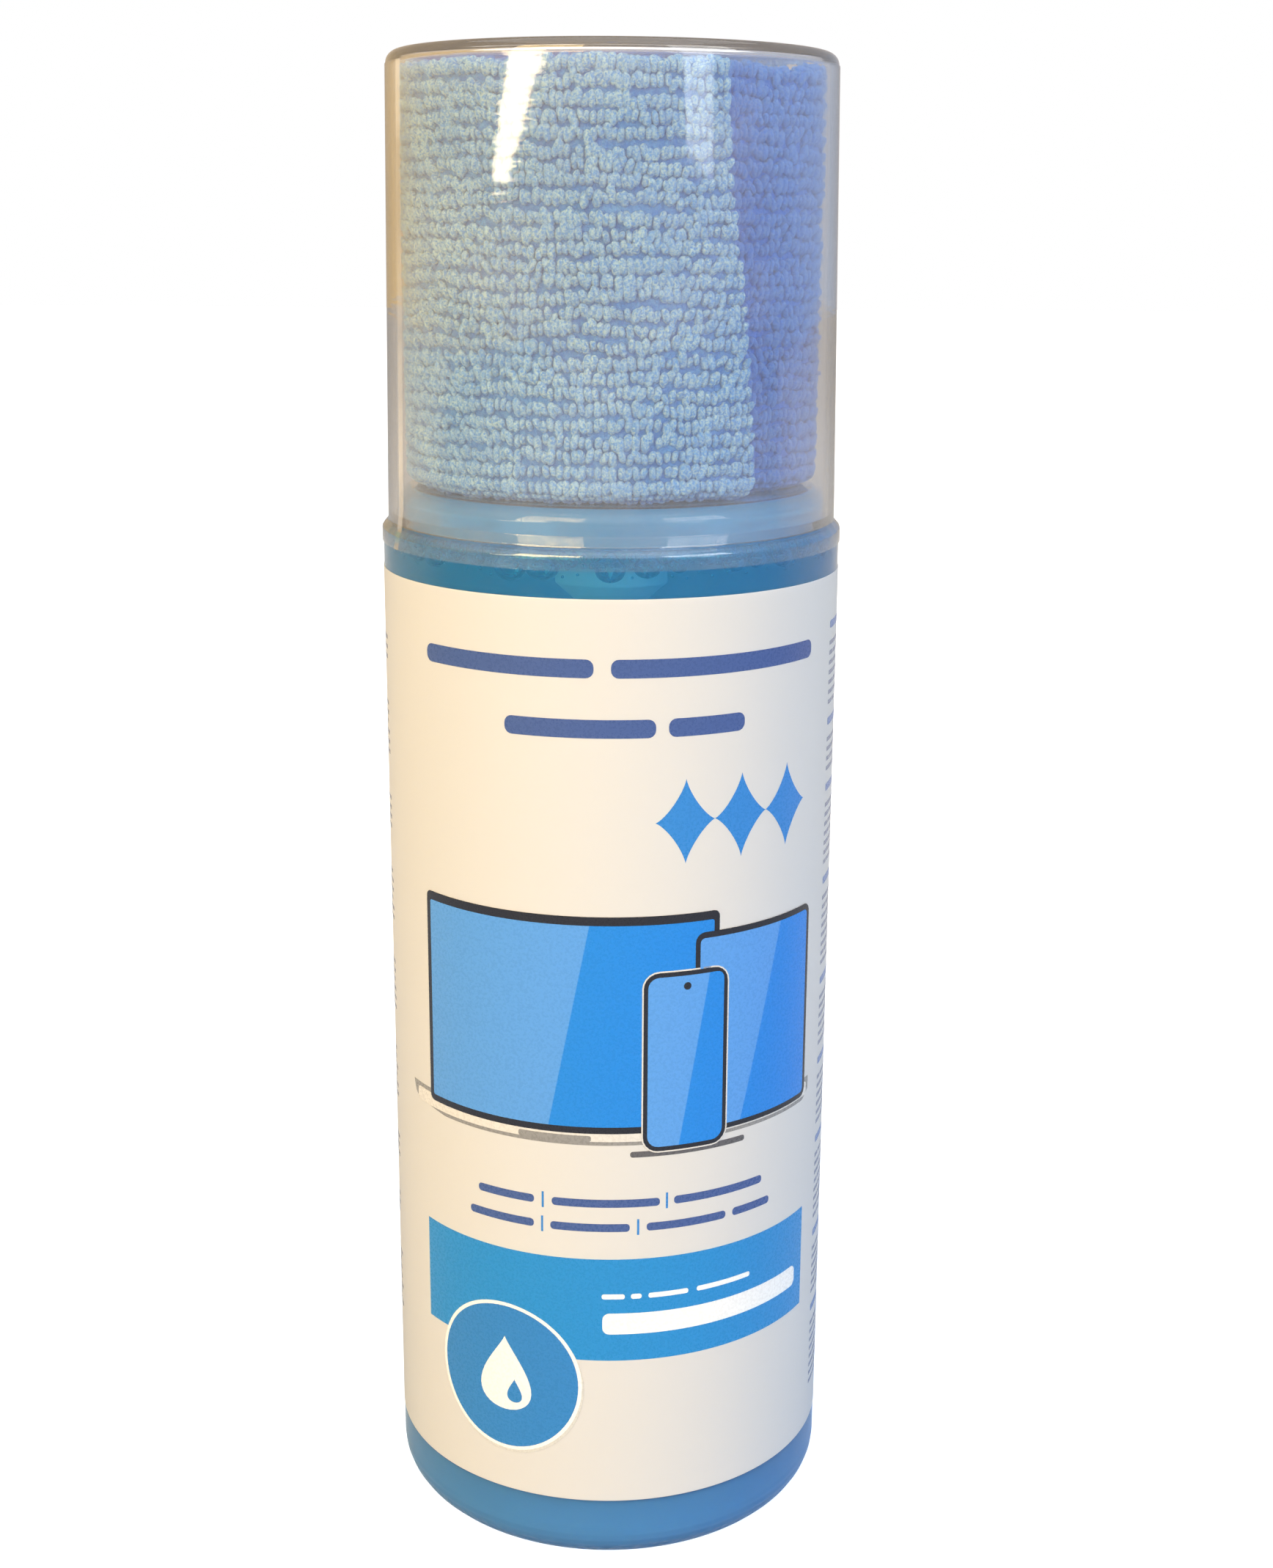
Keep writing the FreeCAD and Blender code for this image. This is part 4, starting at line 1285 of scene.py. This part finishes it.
def build_bottle():
    """Bottle, liquid, bubbles and label."""
    add_piece("bottle_shell", bottle_shape(), clear_bottle_material(), "bottle", ["bottle"])
    add_piece("liquid_fill", liquid_shape(), liquid_material(), "bottle", ["cleaning_liquid"])
    air = bubble_material()
    add_piece("bubble_ring", bubble_shape(), air, "bottle")
    add_piece("shoulder_specks", speck_shape(), air, "bottle")
    film = label_material()
    add_piece("label_wrap", label_shape(), film, "bottle", ["wrap_label"])
    lap = curved_strip(
        172.0, 180.0, LABEL_BOTTOM + 0.1, LABEL_TOP - 0.1,
        lambda height: LABEL_OUTER + 0.002, lambda height: LABEL_OUTER + 0.045,
    )
    add_piece("label_lap", lap, film, "bottle")
    for name, tone in INKS.items():
        ink_material("ink_" + name, srgb(*tone))
    print_devices()
    print_plain_shapes()
    print_texts()
    print_small_columns()


def build_pump():
    """Closure, pump and spray head."""
    white = polymer_material("white_polymer", (0.86, 0.87, 0.88, 1.0), 0.32, 0.15)
    natural = polymer_material("natural_polymer", (0.80, 0.82, 0.82, 1.0), 0.38, 0.35)
    seal = polymer_material("soft_seal", (0.72, 0.74, 0.75, 1.0), 0.6, 0.1)
    steel = steel_material()
    add_piece("screw_closure", closure_shape(), white, "closure", ["closure"])
    add_piece("pump_cylinder", housing_shape(), natural, "pump_base", ["pump_housing"])
    head = add_piece("spray_button", head_shape(), white, "spray_head", ["actuator"])
    cut_nozzle_pocket(head)
    coil = spring_shape(3.45, 0.3, SPRING_BOTTOM, SPRING_TOP, 6.5)
    spring = add_piece("main_spring", coil, steel, "pump_base", ["return_spring"])
    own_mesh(spring)
    finishes = {
        "nozzle_insert": (white, "white_polymer"),
        "neck_gasket": (seal, "soft_seal"),
        "stem_guide": (natural, "natural_polymer"),
        "dip_tube": (natural, "natural_polymer"),
        "stem": (natural, "natural_polymer"),
        "stem_core": (white, "white_polymer"),
        "piston": (seal, "soft_seal"),
        "valve_spring": (steel, "spring_steel"),
        "inlet_ball": (steel, "spring_steel"),
    }
    for name, (material, slot) in finishes.items():
        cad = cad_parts[name]
        cad.data.materials.clear()
        cad.data.materials.append(material)
        cad.data.shade_smooth()
        cad.data.set_sharp_from_angle(angle=CREASE)


def build_cap():
    """Overcap, shrink film and the rolled cloth."""
    add_piece("overcap_shell", cap_shape(), clear_cap_material(), "overcap", ["overcap"])
    film = clear_film_material("clear_film", 0.05)
    seam_film = clear_film_material("clear_film_seam", 0.3)
    add_piece("shrink_film", film_shape(), film, "overcap", ["tamper_film"])
    seam = curved_strip(
        -66.5, -63.5, FILM_BOTTOM, FILM_TOP,
        lambda height: film_path(height) + 0.062, lambda height: film_path(height) + 0.1,
    )
    add_piece("film_seam", seam, seam_film, "overcap")
    # The ground is a deeper blue than the pile: painted shade in the grooves between the rows of loops.
    base = terry_material("terry_ground_shade", srgb(44, 124, 216), srgb(88, 164, 236), 1500.0, 0.0005)
    tips = terry_material("terry_pile", srgb(78, 160, 248), srgb(196, 238, 255), 3000.0, 0.0004)
    cloth = add_piece("cloth_roll", cloth_shape(), base, "overcap", ["microfiber_cloth"])
    pile = add_piece("cloth_pile", pile_shape(), tips, "overcap")


# ---- stage, light and camera


def add_to_scene(name, data):
    """A new object in the scene."""
    made = bpy.data.objects.new(name, data)
    bpy.context.scene.collection.objects.link(made)
    return made


def add_pane(name, corners, material):
    """A flat stage piece of one face."""
    mesh = bpy.data.meshes.new(name)
    mesh.from_pydata(corners, [], [tuple(range(len(corners)))])
    mesh.materials.append(material)
    pane = add_to_scene(name, mesh)
    return pane


FLOOR_HALF = 4.0
FLOOR_FRONT = (0.36, 0.50, 0.74, 1.0)
FLOOR_BACK = (0.66, 0.70, 0.75, 1.0)


def build_stage():
    """A wide pale floor."""
    material, tree = new_material("stage_floor")
    tone = blend_colours(tree, between(tree, along(tree, "Y"), -0.1, 0.3), FLOOR_FRONT, FLOOR_BACK)
    surface = node(tree, "BsdfDiffuse", {"Color": tone})
    seen = node(tree, "LightPath").outputs["Is Camera Ray"]
    glow = node(tree, "Emission", {"Color": WHITE, "Strength": times(tree, seen, 0.8)})
    show(tree, node(tree, "AddShader", {0: surface, 1: glow}))
    signs = (-1, -1), (1, -1), (1, 1), (-1, 1)
    add_pane("floor", [(FLOOR_HALF * x, FLOOR_HALF * y, 0) for x, y in signs], material)


def build_world():
    """White behind the object; warm on the left and cool on the right for everything else."""
    world = bpy.data.worlds.new("studio")
    bpy.context.scene.world = world
    world.use_nodes = True
    tree = world.node_tree
    tree.nodes.clear()
    tree.nodes.new("ShaderNodeOutputWorld")
    direction = node(tree, "TexCoord").outputs["Generated"]
    across, ahead, above = node(tree, "SeparateXYZ", {0: direction}).outputs
    side = between(tree, across, -0.8, 0.8)
    room = blend_colours(tree, side, (0.94, 0.65, 0.30, 1.0), (0.58, 0.67, 0.84, 1.0))
    rise = between(tree, above, 0.03, 0.45)
    low = between(tree, ahead, -0.9, 0.3, 0.42, 0.85)
    high = between(tree, ahead, -0.9, 0.3, 2.0, 0.7)
    power = blend_colours(tree, rise, low, high)
    seen = node(tree, "LightPath").outputs["Is Camera Ray"]
    colour = blend_colours(tree, seen, room, WHITE)
    strength = blend_colours(tree, seen, power, WHITE)
    show(tree, node(tree, "Background", {"Color": colour, "Strength": strength}))


WINDOW_DISTANCE = 0.9


def add_window(name, outline, colour, strength):
    """A glowing window that only light and reflections see; outline holds (bearing, level)."""
    material, tree = new_material(name)
    uneven = between(tree, grain(tree, 9.0, 2.0), 0.3, 0.7, strength * 0.8, strength * 1.2)
    glow = node(tree, "Emission", {"Color": colour, "Strength": uneven})
    show(tree, glow)
    corners = []
    for bearing, level in outline:
        x, y, _ = round_the_bottle(WINDOW_DISTANCE, math.radians(bearing), level)
        corners.append((x, y, level))
    window = add_pane(name, corners, material)
    window.visible_camera = False
    window.visible_shadow = False


def add_ceiling(level, size, watts):
    """A wide soft lamp over the object."""
    lamp = bpy.data.lights.new("ceiling", "AREA")
    lamp.size = size
    lamp.color = (0.95, 0.98, 1.0)
    lamp.energy = watts
    add_to_scene("ceiling", lamp).location = (0.0, 0.0, level)


def build_lights():
    """A warm window on the left, a fainter cool one on the right and a soft lamp above."""
    slanted = (-61.0, 0.215), (-53.0, 0.215), (-32.0, 0.285), (-32.0, 0.4)
    left = (*slanted, (-50.0, 0.4), (-50.0, 0.285))
    high_left = ((-50.0, 0.4), (-15.0, 0.4), (-15.0, 0.9), (-50.0, 0.9))
    right = ((36.0, 0.235), (50.0, 0.215), (50.0, 0.4), (28.0, 0.4))
    high_right = ((29.0, 0.4), (64.0, 0.4), (64.0, 0.9), (29.0, 0.9))
    add_window("window_left", left, (1.0, 0.80, 0.46, 1.0), 12.0)
    add_window("window_high_left", high_left, (1.0, 0.72, 0.33, 1.0), 10.0)
    add_window("window_right", right, (0.84, 0.92, 1.0, 1.0), 2.2)
    add_window("window_high_right", high_right, (0.90, 0.95, 1.0, 1.0), 5.0)
    add_ceiling(1.3, 1.4, 6.0)


CAMERA_PLACE = (0.0, -0.28, 0.175)
CAMERA_PITCH = 0.2597
CAMERA_YAW = 0.0125
CAMERA_ROLL = 0.0059


def build_camera():
    """The camera a little above the bottle's top third, looking down at it."""
    lens = bpy.data.cameras.new("camera")
    lens.lens = 49.03
    lens.sensor_width = 36.0
    lens.clip_start = 0.01
    camera = add_to_scene("camera", lens)
    aim = Matrix.Rotation(-CAMERA_YAW, 4, "Z") @ Matrix.Rotation(math.pi / 2 - CAMERA_PITCH, 4, "X")
    roll = Matrix.Rotation(CAMERA_ROLL, 4, "Z")
    camera.matrix_world = Matrix.Translation(CAMERA_PLACE) @ aim @ roll
    bpy.context.scene.camera = camera


build_stage()
build_world()
build_lights()
build_camera()
build_bottle()
build_pump()
build_cap()
bpy.context.scene.view_settings.view_transform = "Standard"
